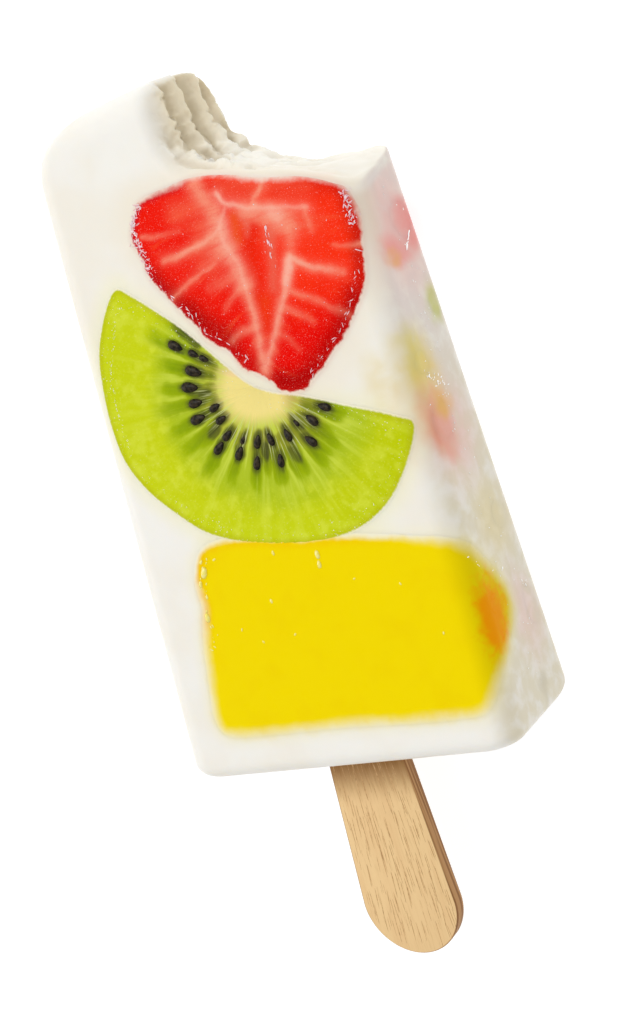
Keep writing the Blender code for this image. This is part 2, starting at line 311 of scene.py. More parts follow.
class Wire:
    """A socket of a material's tree that takes part in expressions."""

    def __init__(self, paint: "Paint", socket: bpy.types.NodeSocket) -> None:
        """Keeps the socket and the tree that it belongs to."""
        self.paint = paint
        self.socket = socket

    def __add__(self, other: "Wire | float") -> "Wire":
        """Adds."""
        return self.paint.math("ADD", self, other)

    def __sub__(self, other: "Wire | float") -> "Wire":
        """Takes the other away."""
        return self.paint.math("SUBTRACT", self, other)

    def __rsub__(self, other: float) -> "Wire":
        """Takes this away from a number."""
        return self.paint.math("SUBTRACT", other, self)

    def __mul__(self, other: "Wire | float") -> "Wire":
        """Multiplies."""
        return self.paint.math("MULTIPLY", self, other)

    def __truediv__(self, other: "Wire | float") -> "Wire":
        """Divides."""
        return self.paint.math("DIVIDE", self, other)

    def __pow__(self, other: float) -> "Wire":
        """Raises to a power."""
        return self.paint.math("POWER", self, other)

    __radd__ = __add__
    __rmul__ = __mul__


class Paint:
    """A material whose node tree is written as expressions."""

    def __init__(self, name: str) -> None:
        """Starts an empty material."""
        self.material = bpy.data.materials.new(name)
        self.material.use_nodes = True
        self.tree = self.material.node_tree
        self.tree.nodes.clear()

    def node(self, kind: str, settings: dict | None = None, inputs: dict | None = None, output: str | int = 0) -> Wire:
        """Adds a node.

        Args:
            kind: The node's type, without "ShaderNode".
            settings: Its settings, which are made first.
            inputs: The value or link of each input, by the input's identifier.
            output: Which output is wanted.

        Returns:
            That output.
        """
        made = self.tree.nodes.new(f"ShaderNode{kind}")
        for name, value in (settings or {}).items():
            setattr(made, name, value)
        sockets = {socket.identifier: socket for socket in made.inputs}
        for name, value in (inputs or {}).items():
            if isinstance(value, Wire):
                self.tree.links.new(value.socket, sockets[name])
            else:
                sockets[name].default_value = value
        if isinstance(output, int):
            return Wire(self, made.outputs[output])
        return Wire(self, next(s for s in made.outputs if s.identifier == output))

    def math(self, operation: str, *values: "Wire | float", clamp: bool = False) -> Wire:
        """A Math node of that operation on the values."""
        names = ("Value", "Value_001", "Value_002")
        settings = {"operation": operation, "use_clamp": clamp}
        return self.node("Math", settings, dict(zip(names, values, strict=False)))

    def place(self) -> Wire:
        """Where the surface is, in the row's frame, in metres."""
        return self.node("TexCoord", output="Object")

    def parts(self, vector: Wire) -> tuple[Wire, Wire, Wire]:
        """The three numbers of a vector."""
        first = self.node("SeparateXYZ", inputs={"Vector": vector})
        outputs = first.socket.node.outputs
        return first, Wire(self, outputs[1]), Wire(self, outputs[2])

    def joined(self, x: "Wire | float", y: "Wire | float", z: "Wire | float") -> Wire:
        """A vector made from three numbers."""
        return self.node("CombineXYZ", inputs={"X": x, "Y": y, "Z": z})

    def millimetres(self, middle: Sequence[float] = (0.0, 0.0, 0.0), stretch: Sequence[float] = (1.0, 1.0, 1.0)) -> Wire:
        """The place in millimetres from a middle point of the ice's foot frame, stretched along the axes."""
        scale = [factor / MM for factor in stretch]
        moved = [-(middle[i] + (FOOT_Y if i == 1 else 0.0)) * stretch[i] for i in range(3)]
        return self.node(
            "Mapping",
            {"vector_type": "POINT"},
            {"Vector": self.place(), "Location": moved, "Scale": scale},
        )

    def attribute(self, name: str) -> Wire:
        """A number that the mesh keeps under that name."""
        return self.node("Attribute", {"attribute_name": name}, output="Fac")

    def noise(self, vector: Wire, scale: float, detail: float = 2.0, roughness: float = 0.5, bend: float = 0.0) -> Wire:
        """Noise from 0 to 1, with scale features in each unit of the vector."""
        inputs = {"Vector": vector, "Scale": scale, "Detail": detail, "Roughness": roughness, "Distortion": bend}
        return self.node("TexNoise", {"noise_dimensions": "3D"}, inputs, output=0)

    def eased(self, value: Wire, low: "Wire | float", high: "Wire | float", to: Sequence[float] = (0.0, 1.0)) -> Wire:
        """Turns the range from low to high into another range, eased at both ends."""
        inputs = {"Value": value, "From Min": low, "From Max": high, "To Min": to[0], "To Max": to[1]}
        return self.node("MapRange", {"interpolation_type": "SMOOTHSTEP"}, inputs)

    def mix(self, factor: "Wire | float", first: "Wire | Colour", second: "Wire | Colour", blend: str = "MIX") -> Wire:
        """A mix of two colours, all first where the factor is 0 and all second where it is 1."""
        settings = {"data_type": "RGBA", "blend_type": blend, "clamp_factor": True}
        inputs: dict = {"Factor_Float": factor}
        for name, colour in (("A_Color", first), ("B_Color", second)):
            inputs[name] = colour if isinstance(colour, Wire) else (*colour, 1.0)
        return self.node("Mix", settings, inputs, output="Result_Color")

    def bump(self, height: Wire, depth_mm: float, strength: float = 1.0) -> Wire:
        """A normal that leans as a relief of that height would make it."""
        return self.node("Bump", None, {"Height": height, "Distance": depth_mm * MM, "Strength": strength})

    def finish(self, colour: "Wire | Colour", fixed: dict, normal: Wire | None = None, roughness: "Wire | None" = None) -> bpy.types.Material:
        """Ends the tree in a Principled shader.

        Args:
            colour: The base colour.
            fixed: Values that are the same all over, by the input's identifier.
            normal: A normal from a bump, if there is one.
            roughness: A roughness that changes over the surface, if it does.

        Returns:
            The finished material.
        """
        inputs = dict(fixed)
        inputs["Base Color"] = colour if isinstance(colour, Wire) else (*colour, 1.0)
        if normal:
            inputs["Normal"] = normal
        if roughness:
            inputs["Roughness"] = roughness
        shader = self.node("BsdfPrincipled", {"subsurface_method": "RANDOM_WALK"}, inputs)
        end = self.tree.nodes.new("ShaderNodeOutputMaterial")
        self.tree.links.new(shader.socket, end.inputs["Surface"])
        return self.material


# ---------------------------------------------------------------- the form of the ice


@dataclass(frozen=True)
class Block:
    """The whole ice: a block that narrows and thins towards its tip, with every edge rounded."""

    length: float = 85.0
    foot_width: float = 48.0
    tip_width: float = 43.6
    foot_depth: float = 18.8
    tip_depth: float = 11.0
    edge_radius: float = 3.2
    tip_corner: float = 7.3
    tip_rounding: float = 4.1
    tip_crown: float = 1.2
    crown_reach: float = 14.0
    foot_corner: float = 2.6
    foot_rounding: float = 2.2

    def depth(self, y: np.ndarray) -> np.ndarray:
        """The thickness at y, which is also how high the front lies."""
        return self.foot_depth + (self.tip_depth - self.foot_depth) * y / self.length

    def inset(self, distance: np.ndarray, radius: float) -> np.ndarray:
        """How far a rounding steps in at a distance from the end that it rounds."""
        left = np.clip(radius - distance, 0.0, radius)
        return radius - np.sqrt(radius**2 - left**2)

    def ring(self, y: np.ndarray) -> tuple[np.ndarray, np.ndarray, np.ndarray, np.ndarray]:
        """Half the width, the lowest and highest z, and the edge radius at y."""
        y = np.clip(y, 0.0, self.length)
        half = (self.foot_width + (self.tip_width - self.foot_width) * y / self.length) / 2
        half = half - self.inset(y, self.foot_corner) - self.inset(self.length - y, self.tip_corner)
        low = self.inset(y, self.foot_rounding) + self.inset(self.length - y, self.tip_rounding)
        high = self.depth(y) - low
        return half, low, high, np.minimum(self.edge_radius, (high - low) / 2)

    def station(self, points: np.ndarray) -> np.ndarray:
        """The y at which the ring through each point starts, before the tip's crown bends it."""
        bow = (2 * points[:, 0] / self.foot_width) ** 2
        y = points[:, 1]
        for _ in range(2):
            rise = np.clip((y - self.length + self.crown_reach) / self.crown_reach, 0.0, 1.0) ** 2
            y = points[:, 1] + self.tip_crown * rise * bow
        return y

    def outside(self, points: np.ndarray) -> np.ndarray:
        """How far outside the block each point is, negative inside."""
        y = self.station(points)
        half, low, high, radius = self.ring(y)
        across = np.abs(points[:, 0]) - (half - radius)
        up = np.abs(points[:, 2] - (low + high) / 2) - ((high - low) / 2 - radius)
        beyond = np.hypot(np.maximum(across, 0), np.maximum(up, 0)) + np.minimum(np.maximum(across, up), 0)
        return np.maximum(beyond - radius, np.maximum(y - self.length, -y))

    def drape(self, around: np.ndarray, y: np.ndarray, lift: np.ndarray) -> np.ndarray:
        """Points on the front, over its rounded edges and down its sides.

        Args:
            around: The way round the block from the middle of its front, positive to the right.
            y: The place along the block.
            lift: How far outside the surface the point lies.

        Returns:
            One row for each point.
        """
        half, _, high, radius = self.ring(y)
        flat = half - radius
        turn = np.clip((np.abs(around) - flat) / radius, 0.0, math.pi / 2)
        down = np.maximum(np.abs(around) - flat - radius * math.pi / 2, 0.0)
        reach = radius + lift
        x = np.minimum(np.abs(around), flat) + reach * np.sin(turn)
        z = high - radius + reach * np.cos(turn) - down
        return np.column_stack([np.sign(around) * x, y, z])

    def way_round(self, points: np.ndarray) -> np.ndarray:
        """How far round the block each point lies from the middle of its front: drape the other way."""
        half, _, high, radius = self.ring(points[:, 1])
        flat = half - radius
        past = np.maximum(np.abs(points[:, 0]) - flat, 0.0)
        drop = np.maximum(high - points[:, 2], 0.0)
        turn = np.arctan2(past, np.maximum(radius - drop, 1e-6))
        edge = flat + radius * np.minimum(turn, math.pi / 2) + np.maximum(drop - radius, 0.0)
        middle = np.abs(points[:, 0]) + np.maximum(drop - 0.6 * radius, 0.0) * 2
        return np.sign(points[:, 0]) * np.where(past > 0, edge, middle)


@dataclass(frozen=True)
class Bite:
    """The corner that is bitten off: a curved wall with ledges left by teeth."""

    block: Block
    back: tuple[Point, ...] = (
        (1.5, 91.0), (1.1, 85.0), (0.6, 81.4), (1.4, 78.0), (3.7, 75.0),
        (6.4, 72.7), (10.0, 70.9), (14.4, 69.8), (20.0, 69.3), (27.0, 69.1),
    )  # fmt: skip
    front: tuple[Point, ...] = (
        (-3.0, 91.0), (-2.3, 84.0), (-1.9, 79.4), (-1.4, 76.4), (0.5, 74.0),
        (4.4, 72.5), (9.2, 71.0), (15.0, 69.2), (20.6, 66.3), (27.0, 61.0),
    )  # fmt: skip
    reach: float = 4.0
    ledge_gap: float = 2.8
    ledge: float = 0.95
    lump: float = 0.62
    grain: float = 0.05
    soft_rim: float = 2.1
    sharp_rim: float = 0.35

    def level(self, points: np.ndarray) -> np.ndarray:
        """How high each point lies between the back (0) and the front (1)."""
        return np.clip(points[:, 2] / self.block.depth(points[:, 1]), 0.0, 1.0)

    def wall(self, points: np.ndarray) -> tuple[np.ndarray, np.ndarray]:
        """How far inside the smooth bite each point is, and how far along its wall from the tip."""
        back = smooth_curve(self.back, 4, closed=False)
        front = smooth_curve(self.front, 4, closed=False)
        pieces = np.linalg.norm(np.diff((back + front) / 2, axis=0), axis=1)
        run = np.concatenate([[0.0], np.cumsum(pieces)])
        result = np.full(len(points), -self.reach * 2)
        runs = np.zeros(len(points))
        close = np.flatnonzero((points[:, 0] > -8) & (points[:, 1] > 56))
        for some in np.array_split(close, max(1, len(close) // 8000)):
            p = points[some]
            t = self.level(p)[:, None, None]
            curve = back + (front - back) * t
            starts, ends = curve[:, :-1], curve[:, 1:]
            distance = segment_distance(p[:, :2], starts, ends)
            nearest = distance.argmin(1)
            row = np.arange(len(p))
            along = (ends - starts)[row, nearest]
            off = p[:, :2] - starts[row, nearest]
            left_of = along[:, 0] * off[:, 1] - along[:, 1] * off[:, 0]
            result[some] = np.where(left_of > 0, 1, -1) * distance[row, nearest]
            part = (off * along).sum(1) / np.maximum((along**2).sum(1), 1e-9)
            runs[some] = run[nearest] + pieces[nearest] * np.clip(part, 0.0, 1.0)
        return result, runs

    def inside(self, points: np.ndarray) -> np.ndarray:
        """How far inside the smooth bite each point is, negative in the ice."""
        return self.wall(points)[0]

    def relief(self, points: np.ndarray, run: np.ndarray) -> np.ndarray:
        """How far ledges, lumps and grains stand out of the smooth wall.

        Args:
            points: Points near the wall.
            run: How far along the wall each one is from the tip.

        Returns:
            The height at each point.
        """
        level = self.level(points)
        along = np.column_stack([run, run * 0.0, points[:, 2] * 0.35])
        wander = layered_noise(along, 4.5, 2, seed=3)
        scallop = np.abs(lattice_noise(along / 1.25, seed=5))
        chips = lattice_noise(along * (1.0, 1.0, 2.0) / 0.55, seed=7)
        count = points[:, 2] / self.ledge_gap + 0.22 * wander + 0.24 * scallop + 0.06 * chips + 0.22
        part = count - np.floor(count)
        shelf = (1 - part) ** 1.1 * share(part, -0.04, 0.20)
        lumps = layered_noise(points * (1.0, 1.0, 1.15), 2.5, 2, seed=11)
        grains = layered_noise(points, 0.5, 2, seed=31)
        ledged = share(run, 26.0, 17.0)
        chunky = share(run, 11.0, 16.0) * share(run, 36.0, 26.0)
        calm = share(level, 0.95, 0.82)
        height = self.ledge * ledged * (shelf - 0.45) + self.lump * (0.25 + chunky) * lumps
        return calm * height + self.grain * grains * (0.2 + 0.8 * calm) * share(run, 32.0, 24.0)

    def rim(self, points: np.ndarray) -> np.ndarray:
        """How round the edge between the bite and the outer surface is: softest at the front left."""
        high = share(self.level(points), 0.45, 0.95)
        left = share(points[:, 0], 8.0, 0.0)
        return self.sharp_rim + (self.soft_rim - self.sharp_rim) * high * (0.35 + 0.65 * left)

    def cut_from(self, solid: np.ndarray, points: np.ndarray, rough: bool) -> np.ndarray:
        """The ice after the bite.

        Args:
            solid: How far outside the whole block each point is.
            points: The points.
            rough: Whether the ledges and lumps are there.

        Returns:
            How far outside the bitten block each point is.
        """
        bitten, run = self.wall(points)
        near = np.flatnonzero(bitten > -self.reach)
        if rough:
            bitten[near] -= self.relief(points[near], run[near])
        result = solid.copy()
        radius = self.rim(points[near])
        a, b = solid[near] + radius, bitten[near] + radius
        corner = np.hypot(np.maximum(a, 0), np.maximum(b, 0))
        result[near] = np.minimum(np.maximum(a, b), 0) + corner - radius
        return result


# ---------------------------------------------------------------- outlines and patches


@dataclass(frozen=True)
class Outlines:
    """The outlines of the three slices on the front, laid flat round the block's right edge."""

    strawberry_points: tuple[Point, ...] = (
        (-4.2, 72.1), (-1.1, 72.1), (1.6, 72.3), (4.6, 71.8), (6.9, 71.0), (9.4, 69.9), (12.2, 69.0),
        (15.8, 68.1), (19.0, 66.9), (20.7, 65.6), (21.4, 63.9), (21.7, 62.0), (21.2, 58.9), (20.4, 55.0),
        (18.5, 52.5), (16.0, 50.0), (14.2, 48.8), (12.6, 47.5), (10.9, 46.6), (9.0, 45.5), (6.4, 45.9),
        (5.2, 47.4), (3.4, 48.8), (1.7, 49.8), (0.5, 52.1), (-1.0, 53.1), (-2.4, 54.4), (-3.1, 56.0),
        (-4.6, 57.9), (-5.9, 60.1), (-7.9, 63.1), (-8.2, 65.5), (-9.0, 67.8), (-8.3, 69.5), (-6.6, 71.7),
    )  # fmt: skip
    kiwi_points: tuple[Point, ...] = (
        (-13.4, 63.1), (-15.2, 61.9), (-17.3, 59.2), (-19.0, 55.9), (-19.9, 51.6), (-20.2, 47.0),
        (-19.5, 42.4), (-17.3, 38.4), (-14.1, 35.0), (-10.2, 31.8), (-5.0, 29.7), (0.4, 28.5), (6.1, 28.0),
        (11.7, 28.7), (16.0, 30.8), (19.2, 34.0), (21.2, 37.1), (21.6, 38.9), (20.3, 39.8), (18.2, 40.8),
        (13.8, 42.6), (8.9, 44.7), (4.7, 46.1), (1.8, 47.8), (-0.8, 50.7), (-3.5, 54.0), (-5.5, 56.3),
        (-8.1, 58.8), (-11.6, 61.9),
    )  # fmt: skip
    mango_points: tuple[Point, ...] = (
        (-12.4, 28.9), (-13.7, 26.4), (-13.9, 24.6), (-13.8, 22.4), (-14.6, 20.0), (-15.4, 17.2), (-16.2, 12.4),
        (-16.8, 9.2), (-16.4, 7.0), (-14.6, 6.0), (-8.7, 5.8), (-3.0, 5.8), (3.4, 5.7), (11.2, 5.3), (17.2, 5.2),
        (20.9, 5.4), (22.6, 7.0), (24.6, 9.4), (27.6, 11.6), (29.8, 13.6), (30.4, 15.6), (29.3, 18.4),
        (26.4, 21.6), (23.9, 23.9), (21.2, 25.4), (18.0, 26.1), (14.5, 26.9), (8.4, 28.0), (1.4, 28.9),
        (-5.0, 30.0), (-10.0, 30.1),
    )  # fmt: skip

    def strawberry(self) -> np.ndarray:
        """The heart of the strawberry."""
        return smooth_curve(self.strawberry_points, 3, closed=True)

    def kiwi(self) -> np.ndarray:
        """The half round of the kiwi: its rim and its cut edge."""
        return smooth_curve(self.kiwi_points, 5, closed=True)

    def mango(self) -> np.ndarray:
        """The mango slab, with its right end folded out flat."""
        return smooth_curve(self.mango_points, 3, closed=True)


class Tint(Enum):
    """What a patch of colour in the ice comes from; its dull grey-brown tint is painted shade, not fruit."""

    RED = "red"
    GREEN = "green"
    YELLOW = "yellow"
    PEACH = "peach"
    PINK = "pink"
    ORANGE = "orange"
    # painted shade: a dull patch where the surface lies in shade, not fruit
    PAINTED_SHADE = "painted_shade"


@dataclass(frozen=True)
class Patch:
    """A soft patch of colour at the right side, where something lies under the frost; the grey-brown ones are painted
    shade.
    """

    tint: Tint
    y: float
    z: float
    half_length: float
    half_height: float
    strength: float
    softness: float = 0.6


SIDE_PATCHES = (
    Patch(Tint.PINK, 60.0, 7.0, 6.5, 5.5, 0.72, 0.8),
    # painted shade near the bitten corner
    Patch(Tint.PAINTED_SHADE, 65.0, 12.2, 5.0, 3.0, 0.42, 0.9),
    Patch(Tint.RED, 59.9, 3.8, 2.9, 3.2, 1.00, 0.6),
    Patch(Tint.RED, 57.2, 8.2, 1.6, 3.2, 0.95, 0.6),
    Patch(Tint.ORANGE, 56.4, 9.6, 0.9, 1.6, 0.55, 0.6),
    Patch(Tint.PINK, 55.0, 3.0, 1.6, 1.4, 0.35, 0.7),
    Patch(Tint.GREEN, 50.3, 3.4, 2.2, 2.1, 0.75, 0.6),
    Patch(Tint.GREEN, 44.4, 11.5, 3.4, 1.6, 0.75, 0.7),
    Patch(Tint.YELLOW, 43.4, 11.2, 4.4, 3.2, 0.90, 0.8),
    Patch(Tint.PINK, 36.6, 9.6, 5.4, 4.6, 0.60, 0.8),
    Patch(Tint.PEACH, 37.3, 11.5, 3.5, 2.8, 1.00, 0.5),
    Patch(Tint.ORANGE, 39.4, 9.8, 1.6, 1.9, 0.90, 0.6),
    Patch(Tint.YELLOW, 24.4, 7.0, 4.0, 3.4, 0.38, 0.8),
    Patch(Tint.PINK, 12.6, 6.6, 4.6, 3.2, 0.40, 0.8),
    # painted shade near the foot
    Patch(Tint.PAINTED_SHADE, 3.4, 7.8, 1.9, 0.7, 0.45, 0.9),
)


@dataclass(frozen=True)
class Fields:
    """What every piece knows about its surroundings, so that colours run on from one to the next."""

    block: Block
    outlines: Outlines
    bite: Bite
    clip: float = 6.0

    def store_on(self, mesh: bpy.types.Mesh) -> None:
        """Keeps the distances to the fruit and the strength of each tint on a mesh's points."""
        points = points_of(mesh)
        around = self.block.way_round(points)
        flat = np.column_stack([around, points[:, 1]])
        for name in ("strawberry", "kiwi", "mango"):
            outline = getattr(self.outlines, name)()
            store(mesh, f"rim_{name}", self.clipped(flat, outline))
        self.store_ripeness(mesh, points, flat)
        tints = {tint: np.zeros(len(points)) for tint in Tint}
        right = share(points[:, 0], 15.0, 19.5)
        gone, run = self.bite.wall(points)
        wobble_y = layered_noise(points, 2.2, 3, seed=41)
        wobble_z = layered_noise(points, 2.2, 3, seed=47)
        for patch in SIDE_PATCHES:
            off = np.hypot(
                (points[:, 1] + 0.7 * wobble_y - patch.y) / patch.half_length,
                (points[:, 2] + 0.7 * wobble_z - patch.z) / patch.half_height,
            )
            soft = patch.strength * right * share(off, 1 + patch.softness, 1 - patch.softness)
            soft = soft * share(gone, -0.6, -1.6)
            tints[patch.tint] = np.maximum(tints[patch.tint], soft)
        for tint, strength in tints.items():
            store(mesh, f"tint_{tint.value}", strength)
        # the block's right side, where the ice and the mango take darker colours, partly as painted shade
        store(mesh, "side", right * share(np.abs(around), 20.8, 24.2))
        soft = 0.30 + 2.4 * share(points[:, 0], 8.0, 0.0) * share(self.bite.level(points), 0.4, 0.9)
        bitten = share(-self.block.outside(points) / soft, 0.05, 1.0) * share(gone, -2.5, -1.5)
        store(mesh, "bitten", bitten)
        # painted shade on the left part of the bite's wall, which faces away from the light; it fades towards the front
        # face and further along the wall
        behind = 1 - 0.8 * share(self.bite.level(points), 0.70, 0.90)
        store(mesh, "bitten_left_shade", bitten * behind * share(run, 20.0, 11.0) * (0.25 + 0.75 * share(run, 0.5, 8.0)))
        # painted shade: how strongly the bite's recesses are darkened
        store(mesh, "hollow_shade", bitten * share(gone, 0.30, -0.60) * (0.4 + 0.6 * share(run, 24.0, 14.0)))

    def store_ripeness(self, mesh: bpy.types.Mesh, points: np.ndarray, flat: np.ndarray) -> None:
        """Keeps how ripe the mango is: at its left and top edges, and where it comes through the side."""
        wobble = layered_noise(points, 2.4, 3, seed=71)
        around, y = flat[:, 0], flat[:, 1]
        end = np.hypot((y - 15.2 + 0.8 * wobble) / 5.6, (around - 25.3 + 0.5 * wobble) / 4.4)
        store(mesh, "ripe_end", share(end, 1.30, 0.15) * share(around, 21.2, 24.2))
        rim = self.clipped(flat, self.outlines.mango())
        left = share(rim, 1.7, 0.2) * share(around, -9.0, -12.5) * share(y, 16.0, 21.0)
        top = share(rim, 1.5, 0.2) * share(y, 22.0, 25.5) * share(around, 19.0, 6.0)
        store(mesh, "ripe_edge", np.clip(np.maximum(0.75 * left, 0.45 * top) + 0.1 * wobble * (left + top), 0, 1))

    def clipped(self, flat: np.ndarray, outline: np.ndarray) -> np.ndarray:
        """Distances inside an outline, worked out only for the points near it."""
        low, high = outline.min(0) - self.clip, outline.max(0) + self.clip
        near = ((flat > low) & (flat < high)).all(1)
        result = np.full(len(flat), -self.clip)
        result[near] = np.maximum(inside_distance(flat[near], outline), -self.clip)
        return result


# ---------------------------------------------------------------- finishes


@dataclass(frozen=True)
class MangoFinish:
    """Cut mango: even deep yellow that blurs into the ice, riper where it meets the side, and darker there as painted
    shade.
    """

    flesh: Colour = (0.905, 0.700, 0.0004)
    shade: Colour = (0.880, 0.650, 0.0004)
    ripe: Colour = (0.900, 0.480, 0.001)
    # darker, duller flesh on the block's side: painted shade of that face
    side: Colour = (0.730, 0.570, 0.0010)
    ripest: Colour = (0.830, 0.300, 0.0003)

    def colour(self, paint: Paint) -> Wire:
        """The colour of the flesh at any point.

        Args:
            paint: The material that it is written into.

        Returns:
            The colour's socket.
        """
        place = paint.millimetres()
        cloud = paint.noise(place, 0.22, detail=2.0)
        fine = paint.noise(place, 0.9, detail=3.0, bend=0.5)
        flesh = paint.mix(paint.eased(cloud, 0.45, 0.75, (0.0, 0.5)), self.flesh, self.shade)
        # painted shade where the mango wraps onto the side
        flesh = paint.mix(paint.attribute("side"), flesh, self.side)
        flesh = paint.mix(paint.attribute("ripe_edge") * paint.eased(fine, 0.25, 0.6, (0.5, 1.0)), flesh, self.ripe)
        ripe = paint.attribute("ripe_end")
        return paint.mix(paint.eased(ripe + (fine - 0.5) * 0.9, 0.12, 0.95), flesh, self.ripest)

    def material(self, ice: "IceFinish") -> bpy.types.Material:
        """The mango's material, for pieces that lie in that ice."""
        paint = Paint("mango_flesh")
        place = paint.millimetres()
        relief = paint.noise(place, 0.8, detail=3.0)
        rough = paint.eased(relief, 0.35, 0.65, (0.26, 0.38))
        return paint.finish(ice.colour(paint), ice.fruit_fixed(0.4), paint.bump(relief, 0.05, 0.5), rough)


@dataclass(frozen=True)
class IceFinish:
    """Frozen milk and yogurt, with the tints that fruit lends it, and painted shade: on its right side, on the bite's
    left wall, in the bite's recesses and in grey patches.
    """

    front: Colour = (0.905, 0.885, 0.830)
    cream: Colour = (0.885, 0.842, 0.750)
    # the side's frosty beige, made darker as painted shade for the face that less light reaches
    side: Colour = (0.730, 0.670, 0.520)
    side_high: Colour = (0.740, 0.665, 0.615)
    frost: Colour = (0.810, 0.775, 0.700)
    bite: Colour = (0.930, 0.900, 0.815)
    # painted shade for the bite's left wall
    bite_left_shade: Colour = (0.830, 0.740, 0.560)
    # painted shade laid into the bite's recesses
    bite_recess_shade: Colour = (0.520, 0.425, 0.265)
    red: Colour = (0.860, 0.055, 0.045)
    pink: Colour = (0.800, 0.480, 0.430)
    green: Colour = (0.560, 0.560, 0.130)
    yellow: Colour = (0.760, 0.600, 0.170)
    peach: Colour = (0.750, 0.210, 0.060)
    orange: Colour = (0.780, 0.430, 0.110)
    # the colour of the painted shade patches
    painted_shade: Colour = (0.500, 0.440, 0.310)
    kiwi_halo: Colour = (0.900, 0.850, 0.480)
    warm_halo: Colour = (0.880, 0.790, 0.640)
    strawberry_halo: Colour = (0.880, 0.560, 0.460)
    mango_halo: Colour = (0.920, 0.830, 0.440)
    roughness: float = 0.34
    mango: MangoFinish = MangoFinish()

    def colour(self, paint: Paint) -> Wire:
        """The colour of the ice at any point of any piece.

        Args:
            paint: The material that it is written into.

        Returns:
            The colour's socket.
        """
        cloud = paint.noise(paint.millimetres(), 0.09, detail=3.0)
        fine = paint.noise(paint.millimetres(), 0.42, detail=5.0, bend=0.25)
        base = paint.mix(paint.eased(cloud, 0.35, 0.70), self.front, self.cream)
        _, along, _ = paint.parts(paint.millimetres())
        # the side's colour: frosty beige darkened by painted shade, cooler towards the tip
        side = paint.mix(paint.eased(along, 34.0, 54.0), self.side, self.side_high)
        side = paint.mix(paint.eased(fine, 0.40, 0.68, (0.0, 0.90)), side, self.frost)
        base = paint.mix(paint.attribute("side"), base, side)
        base = paint.mix(paint.attribute("bitten"), base, self.bite)
        # painted shade on the bite's left wall
        base = paint.mix(paint.attribute("bitten_left_shade"), base, self.bite_left_shade)
        # painted shade in the bite's recesses
        base = paint.mix(paint.attribute("hollow_shade") * 0.80, base, self.bite_recess_shade)
        for tint in Tint:
            strength = paint.attribute(f"tint_{tint.value}") * paint.eased(fine, 0.25, 0.60, (0.65, 1.1))
            base = paint.mix(strength, base, getattr(self, tint.value))
        kiwi = paint.attribute("rim_kiwi")
        strawberry = paint.attribute("rim_strawberry")
        mango = paint.attribute("rim_mango")
        base = paint.mix(paint.eased(kiwi, -3.2, 0.1, (0.0, 0.42)), base, self.kiwi_halo)
        base = paint.mix(paint.eased(strawberry, -4.6, 0.0, (0.0, 0.55)), base, self.warm_halo)
        base = paint.mix(paint.eased(strawberry, -0.9, 0.0, (0.0, 0.35)), base, self.strawberry_halo)
        base = paint.mix(paint.eased(mango, -2.6, 0.2, (0.0, 0.36)), base, self.mango_halo)
        edge = mango + (paint.noise(paint.millimetres(), 0.45, detail=3.0) - 0.5) * 1.0
        softness = paint.eased(along, 27.5, 23.0, (0.50, 1.30)) + paint.attribute("side") * 0.25
        return paint.mix(paint.eased(edge / softness, -1.0, 1.0), base, self.mango.colour(paint))

    def fixed(self) -> dict:
        """The shader values that are the same all over the ice."""
        return {
            "Subsurface Weight": 0.35,
            "Subsurface Radius": (1.0, 0.9, 0.75),
            "Subsurface Scale": 1.2 * MM,
            "Roughness": self.roughness,
            "Specular IOR Level": 0.40,
            "IOR": 1.35,
        }

    def fruit_fixed(self, depth_mm: float) -> dict:
        """The shader values of fruit in the ice, which light enters to that depth."""
        changed = {"Subsurface Weight": 0.15, "Subsurface Scale": depth_mm * MM, "Specular IOR Level": 0.04}
        return self.fixed() | changed

    def material(self) -> bpy.types.Material:
        """The ice's material."""
        paint = Paint("milk_ice")
        place = paint.millimetres()
        relief = paint.noise(place, 0.8, detail=3.0) + paint.noise(place, 4.0, detail=2.0) * 0.25
        rough = paint.eased(paint.noise(place, 1.5, detail=3.0), 0.3, 0.7, (0.28, 0.42))
        return paint.finish(self.colour(paint), self.fixed(), paint.bump(relief, 0.03, 0.5), rough)


class Tone(Enum):
    """A tone of the strawberry's flesh that is laid on in strokes, in the order in which they are laid."""

    SALMON = "salmon"
    CRIMSON = "crimson"
    SCARLET = "scarlet"
    ORANGE = "orange"
    DUSK = "dusk"
    PALE = "pale"
    CREAM = "cream"


